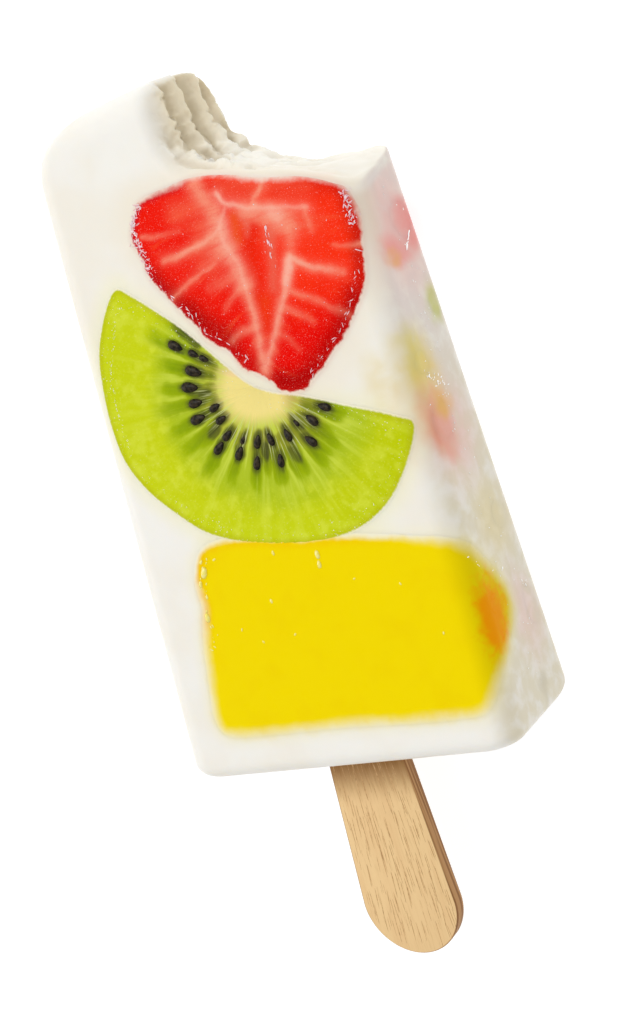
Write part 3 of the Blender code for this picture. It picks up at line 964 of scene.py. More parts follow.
@dataclass(frozen=True)
class StrawberryFinish:
    """Cut strawberry: red flesh with a sparkling grain, pale veins and a crimson skin line."""

    ice: IceFinish
    left: Colour = (0.890, 0.009, 0.002)
    right: Colour = (0.990, 0.030, 0.005)
    low: Colour = (0.850, 0.003, 0.001)
    fibre: Colour = (0.960, 0.095, 0.032)
    skin: Colour = (0.560, 0.003, 0.003)
    left_skin: Colour = (0.560, 0.010, 0.022)
    salmon: Colour = (0.940, 0.140, 0.070)
    crimson: Colour = (0.440, 0.001, 0.001)
    scarlet: Colour = (0.860, 0.016, 0.001)
    orange: Colour = (0.880, 0.075, 0.010)
    dusk: Colour = (0.850, 0.140, 0.085)
    pale: Colour = (0.955, 0.300, 0.190)
    cream: Colour = (0.985, 0.500, 0.385)
    sparkle: Colour = (1.0, 0.50, 0.42)

    def material(self) -> bpy.types.Material:
        """The strawberry's material."""
        paint = Paint("strawberry_flesh")
        place = paint.millimetres()
        across, along, _ = paint.parts(place)
        rim = paint.attribute("rim_strawberry")
        grain = paint.noise(place, 4.6, detail=3.0, roughness=0.7)
        cloud = paint.noise(place, 0.5, detail=3.0)
        fan, span = paint.attribute("fan"), paint.attribute("span")
        fibres = paint.noise(paint.joined(fan, span * 0.12, 0.0), 1.1, detail=4.0, roughness=0.6)
        flesh = paint.mix(paint.eased(across + cloud * 4.0, 5.0, 15.0), self.left, self.right)
        flesh = paint.mix(paint.eased(along + cloud * 4.0, 60.5, 52.5), flesh, self.low)
        flesh = paint.mix(paint.eased(fibres, 0.54, 0.70, (0.0, 0.50)), flesh, self.fibre)
        flesh = paint.mix(paint.eased(rim + cloud, 0.6, 2.4, (0.55, 0.0)) * paint.eased(along, 70.0, 66.0), flesh, self.skin)
        edge_skin = paint.eased(rim + cloud * 0.8, 0.5, 1.5, (0.75, 0.0)) * paint.eased(across, 4.0, -3.0)
        flesh = paint.mix(edge_skin, flesh, self.left_skin)
        flesh = paint.mix(paint.eased(grain, 0.54, 0.78, (0.0, 0.28)), flesh, self.fibre)
        for tone in Tone:
            strength = paint.attribute(f"tone_{tone.value}") * paint.eased(grain, 0.15, 0.65, (0.72, 1.08))
            if tone in (Tone.PALE, Tone.SALMON):
                strength = strength * paint.eased(fibres, 0.30, 0.58, (0.55, 1.0))
            flesh = paint.mix(strength, flesh, getattr(self, tone.value))
        sparks = paint.noise(place, 8.0, detail=1.0)
        flesh = paint.mix(paint.eased(sparks, 0.60, 0.80, (0.0, 0.40)), flesh, self.sparkle)
        softness = 0.17 + paint.eased(along + across * 0.4, 67.5, 71.5) * 0.38
        bumps = paint.noise(place, 0.85, detail=2.0) - 0.5
        shown = paint.eased((rim + (grain - 0.5) * 0.3 + bumps * 0.75) / softness, -1.0, 1.0)
        colour = paint.mix(shown, self.ice.colour(paint), flesh)
        relief = grain * 0.7 + cloud + paint.attribute("tone_cream") * 0.4
        rough = paint.eased(paint.noise(place, 3.0, detail=2.0), 0.35, 0.65, (0.20, 0.38))
        fixed = self.ice.fruit_fixed(0.3) | {"Specular IOR Level": 0.02}
        return paint.finish(colour, fixed, paint.bump(relief, 0.10, 0.8), rough)


@dataclass(frozen=True)
class KiwiFinish:
    """Cut kiwi: green flesh, dark wedges with the seeds, pale rays between them, and a pale core."""

    ice: IceFinish
    core_middle: Point = (3.3, 47.3)
    core_half_length: float = 5.6
    core_half_width: float = 4.1
    flesh: Colour = (0.380, 0.500, 0.003)
    outer: Colour = (0.580, 0.655, 0.008)
    outer_right: Colour = (0.530, 0.610, 0.004)
    bright: Colour = (0.690, 0.760, 0.060)
    inner: Colour = (0.440, 0.450, 0.040)
    wedge: Colour = (0.225, 0.340, 0.002)
    wedge_near: Colour = (0.130, 0.165, 0.008)
    ray: Colour = (0.590, 0.690, 0.070)
    frost: Colour = (0.640, 0.660, 0.330)
    core: Colour = (0.905, 0.755, 0.262)
    core_heart: Colour = (0.900, 0.650, 0.330)
    core_tip: Colour = (0.540, 0.400, 0.110)
    pocket: Colour = (0.075, 0.080, 0.020)
    rim: Colour = (0.480, 0.500, 0.006)

    def material(self) -> bpy.types.Material:
        """The kiwi's material."""
        paint = Paint("kiwi_flesh")
        place = paint.millimetres()
        x, y, _ = paint.parts(paint.millimetres((*self.core_middle, 0.0)))
        radius = paint.math("SQRT", x * x * 0.9 + y * y)
        safe = paint.math("MAXIMUM", radius, 0.2)

        def streaks(count: float, drift: float, detail: float, seed: float) -> Wire:
            """Noise drawn out along the rays."""
            outward = paint.joined((x / safe) * count, (y / safe) * count, radius * drift + seed)
            return paint.noise(outward, 1.0, detail=detail, bend=0.2)

        thin = streaks(16.0, 0.12, 2.0, 9.0)
        fine = streaks(42.0, 0.25, 2.0, 21.0)
        cloud = paint.noise(place, 0.5, detail=3.0)
        speck = paint.noise(place, 3.2, detail=2.0)
        wedge = paint.attribute("wedge")
        outer = paint.mix(paint.eased(x - y * 0.3, 7.0, 17.0), self.outer, self.outer_right)
        flesh = paint.mix(paint.eased(radius + cloud * 4.0, 13.5, 18.5), self.flesh, outer)
        flesh = paint.mix(paint.eased(cloud, 0.48, 0.70, (0.0, 0.55)) * paint.eased(radius, 11.0, 15.0), flesh, self.bright)
        flesh = paint.mix(paint.eased(speck, 0.52, 0.72, (0.0, 0.30)) * paint.eased(radius, 9.0, 15.0), flesh, self.bright)
        drawn = paint.eased(thin, 0.48, 0.66, (0.0, 0.30)) * paint.eased(radius, 9.0, 13.0)
        flesh = paint.mix(drawn, flesh, self.bright)
        flesh = paint.mix(paint.eased(radius + (thin - 0.5) * 5.0, 9.5, 6.5), flesh, self.inner)
        dark = paint.mix(paint.eased(radius, 8.0, 12.5), self.wedge_near, self.wedge)
        flesh = paint.mix(wedge * paint.eased(thin, 0.25, 0.60, (0.65, 1.0)), flesh, dark)
        between = paint.eased(wedge, 0.45, 0.10) * paint.eased(radius, 16.5, 10.5)
        flesh = paint.mix(between * paint.eased(thin, 0.38, 0.60, (0.30, 0.88)), flesh, self.ray)
        flesh = paint.mix(paint.eased(fine, 0.60, 0.76, (0.0, 0.30)) * paint.eased(radius, 20.0, 8.0), flesh, self.ray)
        flesh = paint.mix(paint.attribute("pocket") * paint.eased(fine, 0.30, 0.62, (1.0, 0.6)), flesh, self.pocket)
        near = paint.eased(radius, 10.0, 7.5) * paint.eased(fine + thin * 0.5, 0.80, 0.98)
        flesh = paint.mix(near * 0.75, flesh, self.frost)
        heart = paint.mix(paint.eased(y + x * 0.4, 0.2, 0.9, (0.0, 0.8)), self.core, self.core_heart)
        heart = paint.mix(paint.eased(x, 1.8, 4.6), heart, self.core_tip)
        wide, high = x / self.core_half_length, y / self.core_half_width
        out = paint.math("SQRT", wide * wide + high * high)
        core = paint.eased(out + (thin - 0.5) * 0.35 + (fine - 0.5) * 0.25, 1.32, 0.74)
        flesh = paint.mix(core, flesh, heart)
        rim = paint.attribute("rim_kiwi")
        flesh = paint.mix(paint.eased(rim, 1.0, 0.1, (0.0, 0.60)) * paint.eased(radius, 12.0, 15.0), flesh, self.rim)
        flesh = paint.mix(paint.eased(speck, 0.62, 0.76, (0.0, 0.30)) * paint.eased(rim, 6.0, 1.0), flesh, self.frost)
        shown = paint.eased(rim + (speck - 0.5) * 0.25, -0.12, 0.16)
        colour = paint.mix(shown, self.ice.colour(paint), flesh)
        relief = thin + fine * 0.6 + cloud * 0.5
        rough = paint.eased(cloud, 0.35, 0.65, (0.22, 0.36))
        return paint.finish(colour, self.ice.fruit_fixed(0.3), paint.bump(relief, 0.08, 0.7), rough)


@dataclass(frozen=True)
class WoodFinish:
    """Sanded beech: fine grain on the flats, darker layered cut edges."""

    light: Colour = (0.850, 0.595, 0.300)
    tan: Colour = (0.780, 0.505, 0.245)
    line: Colour = (0.560, 0.330, 0.130)
    edge: Colour = (0.270, 0.120, 0.038)
    edge_light: Colour = (0.480, 0.255, 0.100)
    # darker where the stick meets the ice
    darker_near_ice: Colour = (0.290, 0.130, 0.032)
    darker_near_ice_from: float = -8.6

    def material(self) -> bpy.types.Material:
        """The stick's material."""
        paint = Paint("beech")
        drawn = paint.millimetres(stretch=(1.0, 0.06, 1.0))
        broad = paint.noise(drawn, 0.7, detail=2.0, bend=0.4)
        fibre = paint.noise(drawn, 4.6, detail=3.0, roughness=0.6)
        colour = paint.mix(paint.eased(broad, 0.30, 0.75, (0.0, 0.6)), self.light, self.tan)
        colour = paint.mix(paint.eased(fibre, 0.50, 0.80, (0.0, 0.34)), colour, self.line)
        _, along, _ = paint.parts(paint.millimetres())
        # darker within a few millimetres of the ice
        darker_near_ice = paint.eased(along + broad * 1.5 + fibre * 1.5, self.darker_near_ice_from + 1.5, 0.2, (0.0, 1.0))
        colour = paint.mix(darker_near_ice, colour, self.darker_near_ice)
        layer = paint.noise(paint.millimetres(stretch=(0.02, 0.02, 1.0)), 2.2, detail=1.0)
        edge = paint.mix(paint.eased(layer, 0.42, 0.58), self.edge, self.edge_light)
        colour = paint.mix(paint.attribute("cut_edge"), colour, edge)
        fixed = {"Roughness": 0.60, "Specular IOR Level": 0.20}
        return paint.finish(colour, fixed, paint.bump(fibre, 0.04, 0.6))


@dataclass(frozen=True)
class PlainFinish:
    """A small thing's finish, with a little mottling, and a glow where it stands in for a glint."""

    name: str
    first: Colour
    second: Colour
    roughness: float
    coat: float = 0.0
    size: float = 2.0
    specular: float = 0.5
    # a glow that paints a highlight on a small lump
    glow: float = 0.0

    def material(self) -> bpy.types.Material:
        """The material of that finish."""
        paint = Paint(self.name)
        mottle = paint.noise(paint.millimetres(), self.size, detail=2.0)
        colour = paint.mix(paint.eased(mottle, 0.35, 0.65), self.first, self.second)
        fixed = {"Roughness": self.roughness, "Coat Weight": self.coat, "Coat Roughness": 0.08}
        fixed |= {"Specular IOR Level": self.specular, "Emission Color": (1.0, 1.0, 1.0, 1.0), "Emission Strength": self.glow}
        return paint.finish(colour, fixed, paint.bump(mottle, 0.02, 0.4))


# ---------------------------------------------------------------- small things, by Geometry Nodes


class Scatter:
    """A Geometry Nodes tree that puts a small lump at each point, turned and sized as the point says."""

    def __init__(self, name: str, material: bpy.types.Material, segments: int = 8, rings: int = 5) -> None:
        """Builds the tree.

        Args:
            name: The tree's name.
            material: What the lumps are made of.
            segments: How many faces go round a lump.
            rings: How many faces go along it.
        """
        self.tree = bpy.data.node_groups.new(name, "GeometryNodeTree")
        face = self.tree.interface
        face.new_socket("Geometry", in_out="INPUT", socket_type="NodeSocketGeometry")
        self.inputs = {}
        for label, kind, value in (
            ("Length", "NodeSocketFloat", 1.0),
            ("Width", "NodeSocketFloat", 0.6),
            ("Height", "NodeSocketFloat", 0.4),
            ("Taper", "NodeSocketFloat", 0.3),
            ("Roughness", "NodeSocketFloat", 0.0),
            ("Seed", "NodeSocketInt", 1),
        ):
            socket = face.new_socket(label, in_out="INPUT", socket_type=kind)
            socket.default_value = value
            self.inputs[label] = socket.identifier
        face.new_socket("Geometry", in_out="OUTPUT", socket_type="NodeSocketGeometry")
        self.build(material, segments, rings)

    def add(self, kind: str, settings: dict | None = None, **inputs: object) -> bpy.types.Node:
        """Adds a node, with its settings first and then its inputs' values or links."""
        node = self.tree.nodes.new(kind)
        for name, value in (settings or {}).items():
            setattr(node, name, value)
        for name, value in inputs.items():
            socket = next(s for s in node.inputs if s.identifier == name or s.name == name.replace("_", " "))
            if isinstance(value, bpy.types.NodeSocket):
                self.tree.links.new(value, socket)
            else:
                socket.default_value = value
        return node

    def build(self, material: bpy.types.Material, segments: int, rings: int) -> None:
        """Makes the lump, places it at each point, and ends in plain geometry with its material."""
        start = self.add("NodeGroupInput")
        wanted = {socket.name: socket for socket in start.outputs}
        lump = self.add("GeometryNodeMeshUVSphere", Segments=segments, Rings=rings, Radius=1.0)
        place = self.add("GeometryNodeInputPosition")
        parts = self.add("ShaderNodeSeparateXYZ", Vector=place.outputs[0])
        narrowing = self.add("ShaderNodeMath", {"operation": "MULTIPLY"}, Value=parts.outputs[0], Value_001=wanted["Taper"])
        narrow = self.add("ShaderNodeMath", {"operation": "SUBTRACT"}, Value=1.0, Value_001=narrowing.outputs[0])
        sides = self.add("ShaderNodeCombineXYZ", X=1.0, Y=narrow.outputs[0], Z=narrow.outputs[0])
        tapered = self.add("ShaderNodeVectorMath", {"operation": "MULTIPLY"}, Vector=place.outputs[0], Vector_001=sides.outputs[0])
        sizes = self.add("ShaderNodeCombineXYZ", X=wanted["Length"], Y=wanted["Width"], Z=wanted["Height"])
        sized = self.add("ShaderNodeVectorMath", {"operation": "MULTIPLY"}, Vector=tapered.outputs[0], Vector_001=sizes.outputs[0])
        shaped = self.add("GeometryNodeSetPosition", Geometry=lump.outputs[0], Position=sized.outputs[0])
        turn = self.add("GeometryNodeInputNamedAttribute", {"data_type": "QUATERNION"}, Name="turn")
        size = self.add("GeometryNodeInputNamedAttribute", {"data_type": "FLOAT"}, Name="size")
        at_points = self.add(
            "GeometryNodeInstanceOnPoints",
            Points=wanted["Geometry"],
            Instance=shaped.outputs[0],
            Rotation=turn.outputs[0],
            Scale=size.outputs[0],
        )
        real = self.add("GeometryNodeRealizeInstances", Geometry=at_points.outputs[0])
        spread = self.add("FunctionNodeRandomValue", {"data_type": "FLOAT_VECTOR"}, Seed=wanted["Seed"])
        spread.inputs[0].default_value = (-1.0, -1.0, -1.0)
        spread.inputs[1].default_value = (1.0, 1.0, 1.0)
        uneven = self.add("ShaderNodeVectorMath", {"operation": "SCALE"}, Vector=spread.outputs[0], Scale=wanted["Roughness"])
        dented = self.add("GeometryNodeSetPosition", Geometry=real.outputs[0], Offset=uneven.outputs[0])
        smooth = self.add("GeometryNodeSetShadeSmooth", Geometry=dented.outputs[0])
        painted = self.add("GeometryNodeSetMaterial", Geometry=smooth.outputs[0], Material=material)
        end = self.add("NodeGroupOutput")
        self.tree.links.new(painted.outputs[0], end.inputs[0])

    def grow(self, name: str, points: np.ndarray, turns: Sequence[Quaternion], sizes: np.ndarray, **inputs: float) -> bpy.types.Object:
        """Makes a piece of lumps.

        Args:
            name: The piece's name.
            points: Where the lumps lie, in millimetres from the ice's foot.
            turns: How each one is turned.
            sizes: How large each one is against the others.
            inputs: The tree's sizes in millimetres, by label, and its seed.

        Returns:
            The piece, as a plain mesh.
        """
        seedbed = make_object(f"{name}_points", points, [], smooth=False)
        layer = seedbed.data.attributes.new("turn", "QUATERNION", "POINT")
        for item, turn in zip(layer.data, turns, strict=True):
            item.value = turn
        store(seedbed.data, "size", np.asarray(sizes))
        modifier = seedbed.modifiers.new("scatter", "NODES")
        modifier.node_group = self.tree
        for label, value in inputs.items():
            wanted = int(value) if label == "Seed" else value * (MM if label in LENGTH_INPUTS else 1.0)
            modifier[self.inputs[label]] = wanted
        seedbed.update_tag()
        bpy.context.view_layer.update()
        grown = seedbed.evaluated_get(bpy.context.evaluated_depsgraph_get())
        mesh = bpy.data.meshes.new_from_object(grown)
        mesh.name = name
        for attribute in [a for a in mesh.attributes if a.name in ("turn", "size")]:
            mesh.attributes.remove(attribute)
        piece = bpy.data.objects.new(name, mesh)
        bpy.context.scene.collection.objects.link(piece)
        bpy.data.objects.remove(seedbed)
        return piece


LENGTH_INPUTS = ("Length", "Width", "Height", "Roughness")


def facing(normal: np.ndarray, heading: np.ndarray) -> Quaternion:
    """The turn that lays a lump's length along a heading and its height along a normal."""
    up = Vector(normal).normalized()
    along = Vector(heading)
    along = (along - up * along.dot(up)).normalized()
    side = up.cross(along)
    basis = np.array([along, side, up]).T
    return Matrix(basis.tolist()).to_quaternion()


# ---------------------------------------------------------------- the pieces


@dataclass
class Lolly:
    """What the pieces share: the block, the bite, the outlines, and the finish of the ice."""

    block: Block = field(default_factory=Block)
    outlines: Outlines = field(default_factory=Outlines)
    ice_finish: IceFinish = field(default_factory=IceFinish)

    def __post_init__(self) -> None:
        """Makes the bite and the fields from the block."""
        self.bite = Bite(self.block)
        self.fields = Fields(self.block, self.outlines, self.bite)

    def adopt(self, piece: bpy.types.Object, slot: str, *nodes: str) -> bpy.types.Object:
        """Lets a piece ride on the body and hides the solids that it stands for."""
        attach(piece, BODY)
        for node in nodes:
            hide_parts(node)
        LOG.info("%s: %d points, %d faces", piece.name, len(piece.data.vertices), len(piece.data.polygons))
        return piece


@dataclass
class IceBlock:
    """The milk ice with its bite."""

    lolly: Lolly
    coarse: float = 0.5
    fine_cuts: int = 3
    margin: float = 1.5

    def solid(self, points: np.ndarray, rough: bool) -> np.ndarray:
        """How far outside the bitten ice each point is."""
        whole = self.lolly.block.outside(points)
        return self.lolly.bite.cut_from(whole, points, rough)

    def build(self) -> bpy.types.Object:
        """Makes the ice: an even net over the whole form, cut finer at the bite."""
        block = self.lolly.block
        half = block.foot_width / 2
        low = np.array([-half, 0.0, 0.0]) - self.margin
        high = np.array([half, block.length, block.foot_depth]) + self.margin
        axes = [np.arange(a, b, self.coarse) for a, b in zip(low, high, strict=True)]
        grid = np.stack(np.meshgrid(*axes, indexing="ij"), axis=-1)
        values = self.solid(grid.reshape(-1, 3), rough=False).reshape(grid.shape[:3])
        points, faces = surface_net(values, low, self.coarse)
        points = slide_to_surface(points, lambda p: self.solid(p, rough=False), 4, 0.15)
        piece = make_object("milk_ice", points, faces)
        bitten = self.lolly.bite.inside(points) > -1.3
        refine(piece.data, bitten, self.fine_cuts)
        points = points_of(piece.data)
        near = np.flatnonzero(self.lolly.bite.inside(points) > -2.2)
        points[near] = slide_to_surface(points[near], lambda p: self.solid(p, rough=True), 6, 0.2)
        move_points(piece.data, points)
        piece.data.shade_smooth()
        self.lolly.fields.store_on(piece.data)
        piece.data.materials.append(self.lolly.ice_finish.material())
        return self.lolly.adopt(piece, "milk_ice", "ice_block")


@dataclass
class Slice:
    """A slice of fruit in the front, whose face lies a hair's breadth above the ice."""

    lolly: Lolly
    name: str
    node: str
    slot: str
    outline: np.ndarray
    step: float
    margin: float
    thickness: float
    proud: float = 0.06
    lip_gap: float = 0.15

    def face_height(self, inside: np.ndarray, lip: np.ndarray) -> np.ndarray:
        """How far the face stands above the ice: it slips gently under it outside the outline and at the lip."""
        slip = share(inside, -self.margin, 0.25 * self.margin) * share(lip, -self.lip_gap, -3 * self.lip_gap)
        return -self.proud + 2 * self.proud * slip

    def on_ice(self, flat: np.ndarray, height: np.ndarray) -> np.ndarray:
        """Points at a height above the bitten ice.

        Args:
            flat: Their places, laid flat round the block's edge.
            height: How far each lies above the ice.

        Returns:
            One row for each point.
        """
        block, bite = self.lolly.block, self.lolly.bite
        points = block.drape(flat[:, 0], flat[:, 1], height)
        near = np.flatnonzero(bite.inside(points) > -2.5)
        if len(near):
            points[near] = slide_to_surface(
                points[near],
                lambda p: bite.cut_from(block.outside(p), p, rough=False) - height[near],
                5,
                0.3,
            )
        return points

    def build(self, material: bpy.types.Material) -> bpy.types.Object:
        """Makes the slice as a closed solid.

        Args:
            material: What its surface is made of.

        Returns:
            The piece.
        """
        low, high = self.outline.min(0) - self.margin, self.outline.max(0) + self.margin
        across = np.arange(low[0], high[0] + self.step, self.step)
        along = np.arange(low[1], high[1] + self.step, self.step)
        grid = np.stack(np.meshgrid(across, along, indexing="ij"), axis=-1)
        flat = grid.reshape(-1, 2)
        inside = inside_distance(flat, self.outline)
        on_block = self.lolly.block.drape(flat[:, 0], flat[:, 1], np.zeros(len(flat)))
        lip = self.lolly.bite.inside(on_block)
        kept = ((inside > -self.margin) & (lip < -self.lip_gap)).reshape(grid.shape[:2])
        cells = kept[:-1, :-1] & kept[1:, :-1] & kept[:-1, 1:] & kept[1:, 1:]
        number = np.arange(kept.size).reshape(kept.shape)
        i, j = np.nonzero(cells)
        quads = np.column_stack([number[i, j], number[i + 1, j], number[i + 1, j + 1], number[i, j + 1]])
        used, quads = np.unique(quads, return_inverse=True)
        quads = quads.reshape(-1, 4)
        flat, inside, lip = flat[used], inside[used], lip[used]
        top = self.on_ice(flat, self.face_height(inside, lip))
        points, faces = self.closed(flat, top, quads)
        piece = make_object(self.name, points, faces)
        self.lolly.fields.store_on(piece.data)
        self.dress(piece.data)
        piece.data.materials.append(material)
        return self.lolly.adopt(piece, self.slot, self.node)

    def closed(self, flat: np.ndarray, top: np.ndarray, quads: np.ndarray) -> tuple[np.ndarray, list]:
        """Adds a wall round the face and a floor under it."""
        edges = np.concatenate([quads[:, [k, (k + 1) % 4]] for k in range(4)])
        codes = edges[:, 0] * (len(top) + 1) + edges[:, 1]
        back = edges[:, 1] * (len(top) + 1) + edges[:, 0]
        open_edges = edges[~np.isin(codes, back)]
        follow = dict(open_edges.tolist())
        loops, left = [], set(follow)
        while left:
            start = at = min(left)
            loop = []
            while at in left:
                left.discard(at)
                loop.append(at)
                at = follow[at]
            if at == start:
                loops.append(loop)
        rim = max(loops, key=len)
        floor = self.lolly.block.drape(flat[rim, 0], flat[rim, 1], np.full(len(rim), -self.thickness))
        points = np.vstack([top, floor])
        first = len(top)
        count = len(rim)
        faces = quads.tolist()
        for k, here in enumerate(rim):
            faces.append([rim[(k + 1) % count], here, first + k, first + (k + 1) % count])
        faces.append([first + k for k in range(count)][::-1])
        return points, faces

    def dress(self, mesh: bpy.types.Mesh) -> None:
        """Keeps what only this fruit's finish needs on the mesh."""


@dataclass(frozen=True)
class Stroke:
    """A soft stroke of one tone along a line on the strawberry."""

    tone: Tone
    width: float
    strength: float
    end: float
    points: tuple[Point, ...]
    halo: float = 0.0
    halo_strength: float = 0.0

    def shown(self, flat: np.ndarray) -> np.ndarray:
        """How strongly the stroke shows at each place, from its strength at the start to its share at the end."""
        curve = smooth_curve(self.points, 5, closed=False)
        distance = segment_distance(flat, curve[:-1], curve[1:])
        gone = distance.argmin(1) / (len(curve) - 1)
        near = distance.min(1)
        core = self.strength * np.exp(-((near / self.width) ** 2))
        if self.halo:
            core = core + self.halo_strength * np.exp(-((near / self.halo) ** 2))
        return core * (1 + (self.end - 1) * gone)


STROKES = (
    Stroke(Tone.SALMON, 1.5, 0.60, 0.8, ((-1.6, 69.2), (1.0, 69.0))),
    Stroke(Tone.SALMON, 1.5, 0.70, 0.5, ((5.5, 70.4), (8.6, 69.4), (12.0, 68.4), (16.0, 67.0))),
    Stroke(Tone.SALMON, 1.9, 0.90, 0.6, ((8.0, 66.2), (11.2, 64.8), (15.2, 63.6))),
    Stroke(Tone.SALMON, 1.5, 0.50, 0.6, ((1.0, 66.5), (0.5, 64.0), (1.6, 61.5))),
    Stroke(Tone.CRIMSON, 1.5, 0.95, 1.0, ((10.6, 46.9), (8.6, 46.6), (6.6, 47.0))),
    Stroke(Tone.CRIMSON, 1.7, 0.90, 0.8, ((-3.2, 57.4), (-1.4, 55.4), (0.8, 53.4))),
    Stroke(Tone.CRIMSON, 1.2, 0.45, 0.8, ((1.8, 51.3), (3.6, 50.0))),
    Stroke(Tone.CRIMSON, 1.7, 0.85, 0.8, ((18.8, 53.6), (16.6, 51.2), (14.4, 49.6), (12.4, 48.2))),
    Stroke(Tone.CRIMSON, 1.3, 0.55, 0.8, ((-7.0, 62.8), (-5.0, 60.2), (-3.8, 58.0))),
    Stroke(Tone.CRIMSON, 1.3, 0.25, 0.9, ((20.8, 64.4), (21.0, 60.6), (20.2, 56.4))),
    Stroke(Tone.SCARLET, 1.1, 1.00, 0.9, ((8.4, 64.7), (7.2, 63.3), (6.6, 61.0), (6.5, 58.3), (6.3, 56.4))),
    Stroke(Tone.SCARLET, 1.1, 0.40, 0.9, ((3.5, 71.2), (6.4, 69.9), (8.6, 68.6))),
    Stroke(Tone.SCARLET, 0.9, 0.40, 0.9, ((12.2, 67.6), (15.0, 66.6), (18.5, 65.5))),
    Stroke(Tone.ORANGE, 0.85, 0.95, 0.9, ((6.2, 66.5), (6.0, 65.3), (5.6, 63.9))),
    Stroke(Tone.ORANGE, 1.1, 0.40, 0.5, ((7.3, 56.2), (6.6, 54.4), (6.2, 52.6))),
    Stroke(Tone.DUSK, 0.85, 0.80, 0.8, ((10.4, 63.6), (9.8, 61.6), (9.5, 59.6), (8.8, 57.6))),
    Stroke(Tone.DUSK, 0.5, 0.60, 0.8, ((7.3, 66.2), (7.6, 65.2), (7.2, 64.2))),
    Stroke(Tone.PALE, 1.15, 0.85, 1.0, ((1.9, 71.6), (2.6, 69.9), (3.6, 67.9))),
    Stroke(Tone.PALE, 1.3, 0.75, 1.0, ((2.6, 65.4), (2.8, 64.0))),
    Stroke(Tone.PALE, 1.2, 0.90, 0.9, ((11.4, 65.2), (12.9, 63.6))),
    Stroke(Tone.PALE, 0.9, 0.60, 0.6, ((8.2, 66.3), (10.0, 65.6), (11.0, 65.4))),
    Stroke(Tone.PALE, 0.30, 0.75, 0.9, ((11.4, 69.3), (10.5, 68.3), (9.2, 67.5), (9.2, 66.9)), 0.7, 0.25),
    Stroke(Tone.PALE, 0.38, 0.75, 0.8, ((3.9, 65.9), (1.4, 64.9), (-2.0, 64.5), (-5.2, 64.5)), 0.9, 0.30),
    Stroke(Tone.PALE, 0.35, 0.75, 0.3, ((-7.4, 67.9), (-5.2, 67.5), (-3.7, 67.3), (-1.8, 67.2))),
    Stroke(Tone.PALE, 0.75, 0.35, 0.5, ((3.7, 62.5), (1.3, 62.4), (-1.5, 61.6), (-5.4, 60.0))),
    Stroke(Tone.PALE, 0.28, 0.55, 0.9, ((2.0, 62.2), (-1.5, 61.4), (-5.4, 59.9))),
    Stroke(Tone.PALE, 0.75, 0.40, 0.5, ((4.5, 60.3), (1.7, 59.9), (0.3, 59.6))),
    Stroke(Tone.PALE, 0.45, 0.55, 0.4, ((4.5, 58.6), (3.2, 58.0), (1.7, 56.9))),
    Stroke(Tone.PALE, 0.50, 0.60, 0.7, ((4.8, 53.7), (2.8, 53.8), (1.3, 53.0))),
    Stroke(Tone.PALE, 0.45, 0.90, 0.5, ((12.1, 60.0), (14.6, 58.4), (18.2, 56.9)), 0.9, 0.30),
    Stroke(Tone.PALE, 0.30, 0.80, 0.3, ((21.2, 59.2), (20.1, 59.5), (18.0, 59.8))),
    Stroke(Tone.PALE, 0.45, 0.60, 0.4, ((11.0, 56.6), (13.2, 55.2), (15.9, 53.3), (17.6, 52.1))),
    Stroke(Tone.PALE, 0.45, 0.50, 0.4, ((10.0, 54.8), (11.3, 53.9), (12.7, 52.7))),
    Stroke(Tone.PALE, 0.40, 0.60, 0.5, ((15.5, 64.8), (15.5, 63.7), (15.7, 62.2))),
    Stroke(Tone.PALE, 0.40, 0.35, 0.4, ((8.0, 52.4), (8.9, 51.5), (9.9, 49.9))),
    Stroke(Tone.PALE, 1.20, 0.85, 0.85, ((3.6, 67.2), (3.8, 64.6), (4.7, 61.7), (5.1, 58.6))),
    Stroke(Tone.PALE, 0.75, 0.85, 0.8, ((5.1, 58.6), (5.2, 55.0), (4.9, 51.6), (4.6, 48.6))),
    Stroke(Tone.PALE, 0.70, 0.90, 0.75, ((12.1, 60.4), (11.2, 58.5), (9.5, 55.8), (7.4, 52.5), (5.0, 49.2))),
    Stroke(Tone.PALE, 0.90, 0.55, 0.9, ((8.0, 66.8), (10.6, 65.8), (12.8, 64.2), (12.6, 61.6))),
    Stroke(Tone.CREAM, 0.26, 0.60, 0.5, ((4.6, 69.6), (5.2, 68.6), (6.6, 67.9), (8.4, 66.9), (12.0, 65.9), (15.9, 64.8)), 0.8, 0.25),
    Stroke(Tone.CREAM, 1.0, 0.40, 0.5, ((4.2, 66.4), (4.0, 63.8), (4.7, 61.5), (5.0, 59.4))),
    Stroke(Tone.CREAM, 0.24, 0.35, 0.8, ((5.4, 67.8), (3.9, 66.2), (3.8, 64.4), (4.9, 61.7), (5.1, 58.6))),
    Stroke(Tone.CREAM, 0.30, 0.22, 0.9, ((5.1, 58.6), (5.2, 55.4), (5.0, 52.0), (4.6, 48.8))),
    Stroke(Tone.CREAM, 0.34, 0.40, 0.6, ((12.1, 60.2), (11.2, 58.4), (9.9, 56.4), (7.4, 52.6), (5.0, 49.3))),
    Stroke(Tone.CREAM, 0.22, 0.35, 0.4, ((3.6, 65.8), (1.4, 64.9), (-2.0, 64.5))),
    Stroke(Tone.CREAM, 0.24, 0.45, 0.4, ((12.1, 60.0), (14.6, 58.4), (17.0, 57.4))),
    Stroke(Tone.CREAM, 0.6, 0.65, 1.0, ((11.7, 59.7), (10.7, 57.8))),
    Stroke(Tone.CREAM, 0.8, 0.45, 1.0, ((11.2, 65.5), (12.0, 64.9))),
)


